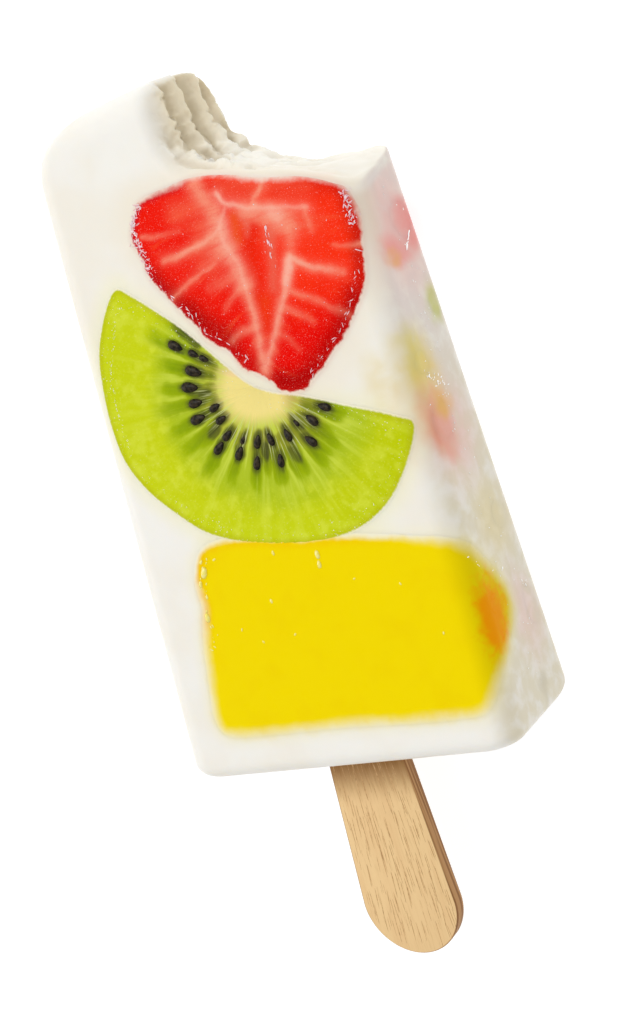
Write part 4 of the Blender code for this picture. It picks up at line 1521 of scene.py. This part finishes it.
@dataclass
class StrawberrySlice(Slice):
    """The strawberry: two pith lines that meet at its tip, with veins that fan out from them."""

    def dress(self, mesh: bpy.types.Mesh) -> None:
        """Keeps how strongly each tone shows at each point, and which way the fibres run."""
        points = points_of(mesh)
        flat = np.column_stack([self.lolly.block.way_round(points), points[:, 1]])
        flat = flat + 0.16 * np.column_stack(
            [layered_noise(points, 1.2, 3, seed=61), layered_noise(points, 1.2, 3, seed=67)]
        )
        for tone in Tone:
            clear = np.ones(len(flat))
            for stroke in (stroke for stroke in STROKES if stroke.tone is tone):
                clear *= 1 - np.clip(stroke.shown(flat), 0.0, 1.0)
            store(mesh, f"tone_{tone.value}", 1 - clear)
        left = np.maximum(4.2 - flat[:, 0], 0.0)
        arm = 5.0 + (flat[:, 1] - 49.3) * 0.604
        right = np.maximum(flat[:, 0] - np.maximum(arm, 5.0), 0.0)
        fan = np.where(left > 0, (flat[:, 1] + 3.13 * left) / (1 + 0.046 * left), flat[:, 1])
        fan = np.where(right > 0, (flat[:, 1] + 3.10 * right) / (1 + 0.046 * right) + 40.0, fan)
        store(mesh, "fan", fan)
        store(mesh, "span", left + right)


@dataclass(frozen=True)
class Seed:
    """A kiwi seed: its middle, the way it points in degrees, and half its length."""

    x: float
    y: float
    heading: float
    half_length: float


@dataclass
class KiwiSlice(Slice):
    """The kiwi, with its seeds and the dark wedge of flesh that each seed sits in."""

    core_middle: Point = (3.0, 47.2)
    seeds_in: tuple[Seed, ...] = (
        Seed(-7.0, 54.5, -34, 1.10), Seed(-4.7, 53.0, -34, 0.80), Seed(-3.4, 52.1, -32, 0.72),
        Seed(-5.4, 51.0, -26, 1.22), Seed(-6.6, 49.3, -14, 1.22), Seed(-6.4, 47.3, 0, 1.05),
        Seed(-3.8, 46.2, 16, 0.85), Seed(-6.7, 45.4, 7, 1.15), Seed(-3.4, 44.6, 18, 0.85),
        Seed(-3.1, 42.6, 30, 0.88), Seed(-4.8, 41.4, 34, 1.00), Seed(-2.1, 40.2, 50, 0.95),
        Seed(-1.1, 41.6, 48, 0.55), Seed(0.9, 41.0, 62, 0.88), Seed(0.0, 38.6, 66, 0.90),
        Seed(2.8, 40.9, 100, 0.82), Seed(3.4, 38.2, 84, 0.85), Seed(5.3, 40.9, 108, 0.85),
        Seed(6.9, 42.0, 126, 0.50), Seed(9.1, 41.9, 134, 0.95), Seed(8.2, 39.6, 137, 0.95),
        Seed(11.2, 43.0, 154, 0.90),
    )  # fmt: skip
    empty_pockets: tuple[Seed, ...] = (
        Seed(-5.6, 56.2, -50, 1.1), Seed(-4.3, 54.7, -50, 1.0), Seed(5.6, 38.5, 113, 0.8), Seed(1.6, 39.6, 80, 0.7),
        Seed(7.0, 41.9, 126, 0.8), Seed(-4.9, 43.4, 28, 0.8), Seed(-4.9, 48.2, -8, 0.7),
    )  # fmt: skip
    wedge_ends: tuple[Point, ...] = (
        (-11.0, 57.1), (-10.6, 53.3), (-11.6, 50.2), (-12.8, 47.5), (-11.9, 44.3), (-10.8, 41.6), (-8.6, 38.1),
        (-5.0, 36.3), (-1.3, 34.9), (2.5, 34.9), (5.7, 34.9), (9.8, 35.7), (12.3, 37.8), (13.8, 40.9),
    )  # fmt: skip
    seed_width: float = 0.52
    seed_height: float = 0.33

    def beside(self, flat: np.ndarray, seed: Seed) -> tuple[np.ndarray, np.ndarray]:
        """How far each place lies ahead of a seed's middle and to its side."""
        turn = math.radians(seed.heading)
        off = flat - (seed.x, seed.y)
        ahead = off @ np.array([math.cos(turn), math.sin(turn)])
        return ahead, np.abs(off @ np.array([-math.sin(turn), math.cos(turn)]))

    def dress(self, mesh: bpy.types.Mesh) -> None:
        """Keeps where the dark wedges run and where the dark pockets round the seeds lie."""
        points = points_of(mesh)
        flat = np.column_stack([self.lolly.block.way_round(points), points[:, 1]])
        flat = flat + 0.14 * np.column_stack(
            [layered_noise(points, 1.1, 2, seed=81), layered_noise(points, 1.1, 2, seed=83)]
        )
        random = np.random.default_rng(12)
        wedge, pocket = np.zeros(len(flat)), np.zeros(len(flat))
        for seed in self.seeds_in + self.empty_pockets:
            ahead, side = self.beside(flat, seed)
            reach = seed.half_length
            near = np.hypot((ahead - 0.1) / (reach + 0.55), side / (0.50 * reach + 0.32))
            pocket = np.maximum(pocket, share(near, 1.25, 0.65))
            behind = share(ahead, -3.6 - reach, -reach) * share(ahead, 2.2, 0.6)
            wedge = np.maximum(wedge, 0.9 * behind * np.exp(-((side / (0.62 - 0.05 * np.minimum(ahead, 0))) ** 2)))
        ends = [(end, random.uniform(0.75, 0.95), 0.62) for end in self.wedge_ends]
        for angle in random.uniform(128.0, 348.0, 26):
            turn = math.radians(angle)
            middle = np.array(self.core_middle)
            end = middle + random.uniform(8.5, 12.5) * np.array([math.cos(turn), math.sin(turn)])
            ends.append((end, random.uniform(0.25, 0.6), 0.28))
        for end, strength, width in ends:
            outward = np.array(end) - self.core_middle
            length = float(np.hypot(*outward))
            outward = outward / length
            off = flat - self.core_middle
            along = off @ outward
            side = np.abs(off @ np.array([-outward[1], outward[0]]))
            lit = np.exp(-(np.abs(side / (width * (0.50 + 0.075 * along))) ** 3))
            lit = strength * lit * share(along, 5.2, 6.6) * share(along, length + 0.9, length - 2.6)
            wedge = np.maximum(wedge, lit)
        store(mesh, "wedge", wedge)
        store(mesh, "pocket", pocket)

    def seeds(self, material: bpy.types.Material) -> bpy.types.Object:
        """Makes the seeds, each pointing at the core."""
        block = self.lolly.block
        flat = np.array([(seed.x, seed.y) for seed in self.seeds_in])
        places = block.drape(flat[:, 0], flat[:, 1], np.full(len(flat), 0.08))
        turns = []
        for seed in self.seeds_in:
            turn = math.radians(seed.heading)
            turns.append(facing(np.array((0.0, 0.09, 1.0)), np.array((math.cos(turn), math.sin(turn), 0.0))))
        sizes = np.array([seed.half_length for seed in self.seeds_in])
        scatter = Scatter("kiwi_seed", material, segments=16, rings=12)
        inputs = {"Length": 1.0, "Width": self.seed_width, "Height": self.seed_height}
        piece = scatter.grow("kiwi_seeds", places, turns, sizes, Taper=0.30, Roughness=0.012, Seed=4, **inputs)
        return self.lolly.adopt(piece, self.slot)


@dataclass(frozen=True)
class Crystals:
    """Ice crystals and wet glints that sit on the fruit and the frost: bright lumps that paint highlights."""

    lolly: Lolly

    def along(
        self, name: str, slot: str, curve: Sequence[Point], count: int, spread: float, size: float, seed: int,
        material: bpy.types.Material, slim: float = 0.30, turn_spread: float = 0.5,
    ) -> bpy.types.Object:  # fmt: skip
        """Scatters crystals along a line.

        Args:
            name: The piece's name.
            slot: Passed on, but not used.
            curve: The line, laid flat round the block's edge.
            count: How many there are.
            spread: How far they stray from the line.
            size: Half the length of the longest.
            seed: The number that the places are drawn with.
            material: What they are made of.
            slim: Their width against their length.
            turn_spread: How far they turn away from the line, in radians.

        Returns:
            The piece.
        """
        random = np.random.default_rng(seed)
        line = smooth_curve(curve, 8, closed=False)
        at = random.uniform(0, len(line) - 1.001, count)
        first = at.astype(int)
        ahead = line[first + 1] - line[first]
        flat = line[first] + (at - first)[:, None] * ahead + random.normal(0, spread, (count, 2))
        angles = np.arctan2(ahead[:, 1], ahead[:, 0]) + random.normal(0, turn_spread, count)
        return self.place(name, slot, flat, angles, size * random.uniform(0.35, 1.0, count) ** 1.3, seed, material, slim)

    def inside(
        self, name: str, slot: str, outline: np.ndarray, band: tuple[float, float], count: int, size: float,
        seed: int, material: bpy.types.Material, slim: float = 0.6,
    ) -> bpy.types.Object:  # fmt: skip
        """Scatters crystals over the part of an outline that lies in a band of distances from its edge."""
        random = np.random.default_rng(seed)
        low, high = outline.min(0), outline.max(0)
        flat = random.uniform(low, high, (count * 6, 2))
        depth = inside_distance(flat, outline)
        flat = flat[(depth > band[0]) & (depth < band[1])][:count]
        angles = random.uniform(0, math.tau, len(flat))
        sizes = size * random.uniform(0.3, 1.0, len(flat)) ** 2
        return self.place(name, slot, flat, angles, sizes, seed, material, slim)

    def place(
        self, name: str, slot: str, flat: np.ndarray, angles: np.ndarray, sizes: np.ndarray, seed: int,
        material: bpy.types.Material, slim: float,
    ) -> bpy.types.Object:  # fmt: skip
        """Makes one piece from crystals that lie flat on the surface."""
        block = self.lolly.block
        foot = block.drape(flat[:, 0], flat[:, 1], np.full(len(flat), 0.05))
        above = block.drape(flat[:, 0], flat[:, 1], np.full(len(flat), 1.05))
        ahead = flat + 0.1 * np.column_stack([np.cos(angles), np.sin(angles)])
        tip = block.drape(ahead[:, 0], ahead[:, 1], np.full(len(flat), 0.05))
        turns = [facing(up, along) for up, along in zip(above - foot, tip - foot, strict=True)]
        scatter = Scatter(name, material)
        piece = scatter.grow(
            name, foot, turns, sizes, Length=1.0, Width=slim, Height=slim * 0.6, Taper=0.1, Roughness=0.02, Seed=seed
        )
        return self.lolly.adopt(piece, slot)


# Painted highlights on the mango: bright pale yellow drops, one row each with x, y, size and heading in radians.
MANGO_GLINT_DROPS = (
    (-12.3, 26.9, 0.90, 1.1), (-13.3, 25.6, 0.50, 1.3), (-13.7, 21.3, 0.70, 1.5), (-10.2, 28.3, 0.30, 0.4),
    (-12.3, 28.3, 0.35, 0.9), (-1.3, 27.7, 0.35, 1.6), (4.8, 26.5, 0.60, 1.6), (4.7, 25.3, 0.55, 1.5),
    (8.9, 22.9, 0.22, 0.3), (14.8, 21.4, 0.22, 2.0), (-9.0, 19.1, 0.25, 1.2), (-1.4, 17.5, 0.25, 0.6),
    (-6.3, 17.2, 0.25, 2.2), (18.6, 15.0, 0.22, 1.4), (-3.5, 22.0, 0.35, 1.7), (-12.9, 23.9, 0.35, 1.4),
)  # fmt: skip


@dataclass
class SidePiece:
    """A lump of fruit that shows through the frost at the right side."""

    lolly: Lolly
    node: str
    slot: str
    step: float = 0.35
    proud: float = 0.03

    def build(self, material: bpy.types.Material) -> bpy.types.Object:
        """Makes the lump: its outer face follows the side of the ice.

        Args:
            material: What its surface is made of.

        Returns:
            The piece.
        """
        low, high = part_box(self.node)
        low, high = np.array(low) / MM, np.array(high) / MM
        middle = (low + high) / 2 - (0.0, FOOT_Y, 0.0)
        size = (high - low) / 2
        rings, spokes = 8, 40
        turn = np.linspace(0, 2 * math.pi, spokes, endpoint=False)
        points, faces = [], []
        for ring in range(1, rings + 1):
            reach = ring / rings
            y = middle[1] + size[1] * reach * np.cos(turn)
            z = middle[2] + size[2] * reach * np.sin(turn)
            points.append(np.column_stack([np.zeros(spokes), y, z]))
        face = np.vstack([np.array([[0.0, middle[1], middle[2]]]), *points])
        reach = np.concatenate([[0.0], np.repeat(np.arange(1, rings + 1) / rings, spokes)])
        lift = self.proud - 2 * self.proud * share(reach, 0.3, 0.9)
        outer = self.on_side(face, lift)
        inner = outer[-spokes:] - (2 * size[0] - 0.5, 0.0, 0.0)
        faces += [[0, 1 + k, 1 + (k + 1) % spokes] for k in range(spokes)]
        for ring in range(rings - 1):
            a, b = 1 + ring * spokes, 1 + (ring + 1) * spokes
            faces += [[a + k, b + k, b + (k + 1) % spokes, a + (k + 1) % spokes] for k in range(spokes)]
        a, b = 1 + (rings - 1) * spokes, len(outer)
        faces += [[a + k, b + k, b + (k + 1) % spokes, a + (k + 1) % spokes] for k in range(spokes)]
        faces.append([b + k for k in range(spokes)][::-1])
        piece = make_object(f"{self.node}_lump", np.vstack([outer, inner]), faces)
        self.lolly.fields.store_on(piece.data)
        piece.data.materials.append(material)
        return self.lolly.adopt(piece, self.slot, self.node)

    def on_side(self, points: np.ndarray, lift: np.ndarray) -> np.ndarray:
        """The points moved out along X until they lie at a height above the ice's side."""
        half, low, high, radius = self.lolly.block.ring(points[:, 1])
        over = np.maximum(points[:, 2] - (high - radius), 0) - np.maximum(low + radius - points[:, 2], 0)
        over = np.clip(np.abs(over), 0, radius * 0.98)
        x = half - radius + np.sqrt(radius**2 - over**2) + lift
        return np.column_stack([x, points[:, 1], points[:, 2]])


@dataclass
class Stick:
    """The flat beech stick: it widens towards its round end."""

    lolly: Lolly
    shown: float = 28.8
    held: float = 12.0
    neck: float = 11.0
    end: float = 13.7
    thickness: float = 2.0
    x: float = -1.9
    rise: float = 0.7
    bevel: float = 0.18

    def outline(self) -> np.ndarray:
        """The stick from the front, anticlockwise."""
        neck, end = self.neck / 2, self.end / 2
        swell = (end - neck) / (self.shown - end)
        held = neck - swell * self.held
        turn = np.linspace(math.pi, 2 * math.pi, 49)
        arc = np.column_stack([self.x + end * np.cos(turn), end - self.shown + end * np.sin(turn)])
        left = np.linspace((self.x - held, self.held), arc[0], 30, endpoint=False)
        right = np.linspace(arc[-1], (self.x + held, self.held), 31)[1:]
        return np.vstack([left, arc, right])

    def build(self) -> bpy.types.Object:
        """Makes the stick with slightly rounded edges."""
        outline = self.outline()
        ahead = np.roll(outline, -1, axis=0) - np.roll(outline, 1, axis=0)
        outward = np.column_stack([ahead[:, 1], -ahead[:, 0]])
        outward /= np.linalg.norm(outward, axis=1)[:, None]
        half = self.thickness / 2
        arc = np.linspace(0, math.pi / 2, 4)
        profile = [(self.bevel * (1 - math.sin(a)), half - self.bevel * (1 - math.cos(a))) for a in arc]
        profile += [(inwards, -height) for inwards, height in reversed(profile)]
        rings = []
        for inwards, height in profile:
            flat = outline - outward * inwards
            middle = self.lolly.block.depth(flat[:, 1]) / 2 + self.rise
            rings.append(np.column_stack([flat, middle + height]))
        count, faces = len(outline), []
        for ring in range(len(rings) - 1):
            a, b = ring * count, (ring + 1) * count
            faces += [[b + k, b + (k + 1) % count, a + (k + 1) % count, a + k] for k in range(count)]
        faces.append(list(range(count)))
        last = (len(rings) - 1) * count
        faces.append([last + k for k in range(count)][::-1])
        piece = make_object("beech_stick", np.vstack(rings), faces)
        piece.data.set_sharp_from_angle(angle=math.radians(30))
        edge = np.concatenate([np.full(count, float(0 < ring < len(rings) - 1)) for ring in range(len(rings))])
        store(piece.data, "cut_edge", edge)
        piece.data.materials.append(WoodFinish().material())
        return self.lolly.adopt(piece, "wood", "stick")

    def pores(self, material: bpy.types.Material) -> bpy.types.Object:
        """Makes the short dark pores of beech along the grain, on both flats."""
        random = np.random.default_rng(8)
        places, turns, sizes = [], [], []
        outline = self.outline()
        step = 0
        while len(places) < 520:
            step += 1
            x = ((step * 0.7549) % 1 - 0.5) * self.end + random.normal(0, 0.25) + self.x
            y = -((step * 0.5698) % 1) * self.shown + random.normal(0, 0.5)
            if inside_distance(np.array([[x, y]]), outline)[0] < 0.4 or not 2.3 - self.shown < y < 0.0:
                continue
            side = 1 if len(places) % 2 == 0 else -1
            middle = float(self.lolly.block.depth(np.array([y]))[0]) / 2 + self.rise
            places.append((x, y, middle + side * self.thickness / 2))
            slope = np.array((0.03 * random.normal() + 0.01 * (x - self.x), -1.0, 0.046))
            turns.append(facing(np.array((0.0, 0.046 * side, float(side))), slope))
            sizes.append(random.uniform(0.5, 2.0))
        scatter = Scatter("beech_pore", material)
        piece = scatter.grow(
            "beech_pores", np.array(places), turns, np.array(sizes),
            Length=1.0, Width=0.030, Height=0.005, Taper=0.2, Roughness=0.002, Seed=6,
        )  # fmt: skip
        return self.lolly.adopt(piece, "wood")


@dataclass(frozen=True)
class Studio:
    """A pale floor, soft light and the camera."""

    camera_place: tuple[float, float, float] = (101.36, 31.37, 155.81)
    camera_aim: tuple[float, float, float] = (2.27, 1.79, 9.0)
    camera_roll: float = -122.08
    lens: float = 51.63
    floor_size: float = 4.0
    floor_colour: Colour = (0.36, 0.36, 0.36)
    floor_glow: float = 0.80

    def light(self, name: str, place: Sequence[float], size: float, power: float, colour: Colour) -> None:
        """Adds a soft square light that faces the lolly."""
        data = bpy.data.lights.new(name, "AREA")
        data.shape = "SQUARE"
        data.size = size
        data.energy = power
        data.color = colour
        lamp = bpy.data.objects.new(name, data)
        lamp.location = place
        lamp.rotation_euler = (-Vector(place)).to_track_quat("-Z", "Y").to_euler()
        bpy.context.scene.collection.objects.link(lamp)

    def build(self) -> None:
        """Sets up the floor, the lights and the camera."""
        scene = bpy.context.scene
        half = self.floor_size / 2
        mesh = bpy.data.meshes.new("floor")
        corners = [(-half, -half, 0), (half, -half, 0), (half, half, 0), (-half, half, 0)]
        mesh.from_pydata(corners, [], [(0, 1, 2, 3)])
        floor = bpy.data.objects.new("floor", mesh)
        scene.collection.objects.link(floor)
        paint = Paint("floor")
        fixed = {"Roughness": 0.9, "Specular IOR Level": 0.1, "Emission Color": (1.0, 1.0, 1.0, 1.0), "Emission Strength": self.floor_glow}
        mesh.materials.append(paint.finish(self.floor_colour, fixed))
        world = bpy.data.worlds.new("studio")
        world.use_nodes = True
        background = world.node_tree.nodes["Background"]
        background.inputs["Color"].default_value = (1.0, 1.0, 1.0, 1.0)
        background.inputs["Strength"].default_value = 0.615
        scene.world = world
        self.light("key", (-0.25, 0.85, 1.40), 1.1, 10.5, (1.0, 0.995, 0.98))
        self.light("left", (-1.30, 0.20, 0.75), 0.9, 3.6, (1.0, 1.0, 1.0))
        lens = bpy.data.cameras.new("camera")
        lens.lens = self.lens
        lens.sensor_width = 36.0
        lens.clip_start = 0.01
        camera = bpy.data.objects.new("camera", lens)
        place, aim = Vector(self.camera_place) * MM, Vector(self.camera_aim) * MM
        turn = (aim - place).to_track_quat("-Z", "Y")
        roll = Quaternion((0.0, 0.0, 1.0), math.radians(self.camera_roll))
        camera.rotation_mode = "QUATERNION"
        camera.rotation_quaternion = turn @ roll
        camera.location = place
        scene.collection.objects.link(camera)
        scene.camera = camera
        scene.view_settings.view_transform = "Standard"
        LOG.info("studio: floor, 2 lights and the camera")


def main() -> None:
    """Builds the pieces in order."""
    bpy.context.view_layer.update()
    Studio().build()
    lolly = Lolly()
    outlines = lolly.outlines
    ice = lolly.ice_finish
    IceBlock(lolly).build()
    StrawberrySlice(
        lolly, "strawberry_face", "strawberry_slice", "strawberry", outlines.strawberry(), 0.16, 0.8, 3.0
    ).build(StrawberryFinish(ice).material())
    kiwi = KiwiSlice(lolly, "kiwi_face", "kiwi_slice", "kiwi", outlines.kiwi(), 0.18, 0.5, 2.8)
    kiwi.build(KiwiFinish(ice).material())
    kiwi.seeds(PlainFinish("kiwi_seed", (0.006, 0.005, 0.003), (0.040, 0.028, 0.014), 0.30, 0.06, 2.6, 0.12).material())
    Slice(lolly, "mango_face", "mango_slab", "mango", outlines.mango(), 0.25, 1.2, 3.5).build(
        ice.mango.material(ice)
    )
    # a faint glow makes these white lumps shine: painted glints on the ice's side
    frost = PlainFinish("ice_crystal_glints", (0.95, 0.94, 0.92), (0.90, 0.88, 0.86), 0.12, 0.5, glow=0.22)
    blush = PlainFinish("wet_glints", (0.95, 0.82, 0.84), (0.95, 0.55, 0.62), 0.12, 0.5)
    sun = PlainFinish("mango_glint_drops", (0.95, 0.87, 0.28), (0.94, 0.80, 0.12), 0.16, 0.4)
    sprout = PlainFinish("kiwi_glint_flecks", (0.88, 0.90, 0.55), (0.95, 0.95, 0.80), 0.15, 0.4)
    crystals = Crystals(lolly)
    wet = blush.material()
    white = frost.material()
    left_rim = (
        (-6.6, 71.3), (-8.0, 70.0), (-8.4, 68.4), (-8.0, 66.0), (-7.5, 63.8), (-6.0, 60.8), (-4.5, 58.9),
        (-3.3, 57.2), (-1.8, 55.0), (-0.2, 53.5), (1.3, 51.7), (2.8, 50.1),
    )  # fmt: skip
    right_rim = (
        (20.6, 65.2), (20.8, 63.1), (20.9, 61.5), (20.2, 56.6), (18.4, 53.8), (16.2, 51.0), (14.4, 49.6),
        (12.1, 48.1), (10.6, 47.0),
    )  # fmt: skip
    # white-pink lumps along the rims and over the flesh stand in for wet glints: painted highlights
    crystals.along("strawberry_glints_left", "strawberry", left_rim, 66, 0.26, 0.44, 21, wet, 0.17, 0.8)
    crystals.along("strawberry_frost_glints_left", "strawberry", left_rim[:5], 150, 0.32, 0.34, 31, wet, 0.22, 1.2)
    crystals.along("strawberry_frost_glints_right", "strawberry", right_rim[:3], 60, 0.30, 0.32, 32, wet, 0.24, 1.0)
    crystals.along("strawberry_glints_right", "strawberry", right_rim, 46, 0.20, 0.52, 22, wet, 0.13, 0.45)
    streak = ((9.9, 64.4), (9.8, 62.0), (9.6, 59.2))
    crystals.along("strawberry_glint_streak", "strawberry", streak, 16, 0.14, 0.55, 23, wet, 0.14, 0.12)
    crystals.inside("strawberry_glint_flecks", "strawberry", outlines.strawberry(), (0.4, 9.0), 170, 0.10, 24, wet)
    green = sprout.material()
    # pale lumps near the kiwi's rim stand in for glints: painted highlights
    crystals.inside("kiwi_glint_flecks", "kiwi", outlines.kiwi(), (0.1, 1.9), 520, 0.10, 25, green)
    kiwi_left = ((-13.2, 61.5), (-15.2, 58.8), (-17.0, 55.5), (-18.2, 52.0), (-18.6, 48.0), (-18.2, 44.0))
    crystals.along("kiwi_glints", "kiwi", kiwi_left, 90, 0.12, 0.16, 26, green)
    # painted highlights on the mango, as bright pale yellow lumps
    gold = sun.material()
    glint_drops = np.array(MANGO_GLINT_DROPS)
    crystals.place("mango_glint_flecks", "mango", glint_drops[:, :2], glint_drops[:, 3], glint_drops[:, 2], 27, gold, 0.55)
    # white lumps on the side stand in for glints: painted highlights
    side_line = ((25.4, 43.0), (26.9, 42.2), (28.6, 41.4), (29.7, 41.4))
    crystals.along("side_glints", "milk_ice", side_line, 22, 0.50, 0.30, 33, white, 0.28, 1.0)
    red_line = ((30.4, 58.7), (29.8, 58.0), (28.9, 57.2))
    crystals.along("side_glint_streak", "milk_ice", red_line, 12, 0.10, 0.55, 34, white, 0.22, 0.2)
    side_length = ((27.5, 64.0), (29.0, 52.0), (28.0, 42.0), (29.5, 30.0), (32.0, 16.0), (32.5, 4.0))
    crystals.along("side_sparkles", "milk_ice", side_length, 90, 1.5, 0.17, 36, white, 0.35, 1.5)
    mango_side = ((24.6, 21.6), (28.3, 19.9), (33.4, 16.1), (35.1, 15.9))
    crystals.along("side_glint_specks", "milk_ice", mango_side, 16, 0.45, 0.28, 35, white, 0.35, 1.2)
    mango_left = ((-11.5, 28.0), (-12.6, 25.8), (-13.4, 23.0), (-13.6, 20.5), (-14.2, 17.0))
    crystals.along("mango_glint_drops", "mango", mango_left, 18, 0.40, 0.30, 28, gold, 0.5)
    lump = ice.material()
    for node, slot in (
        ("side_strawberry", "strawberry"),
        ("side_kiwi_low", "kiwi"),
        ("side_kiwi_high", "kiwi"),
        ("side_peach", "peach"),
        ("side_mango", "mango"),
        ("side_berry", "strawberry"),
    ):
        SidePiece(lolly, node, slot).build(lump)
    stick = Stick(lolly)
    stick.build()
    stick.pores(PlainFinish("beech_pore", (0.46, 0.25, 0.09), (0.64, 0.39, 0.17), 0.7).material())


if __name__ == "__main__":
    main()
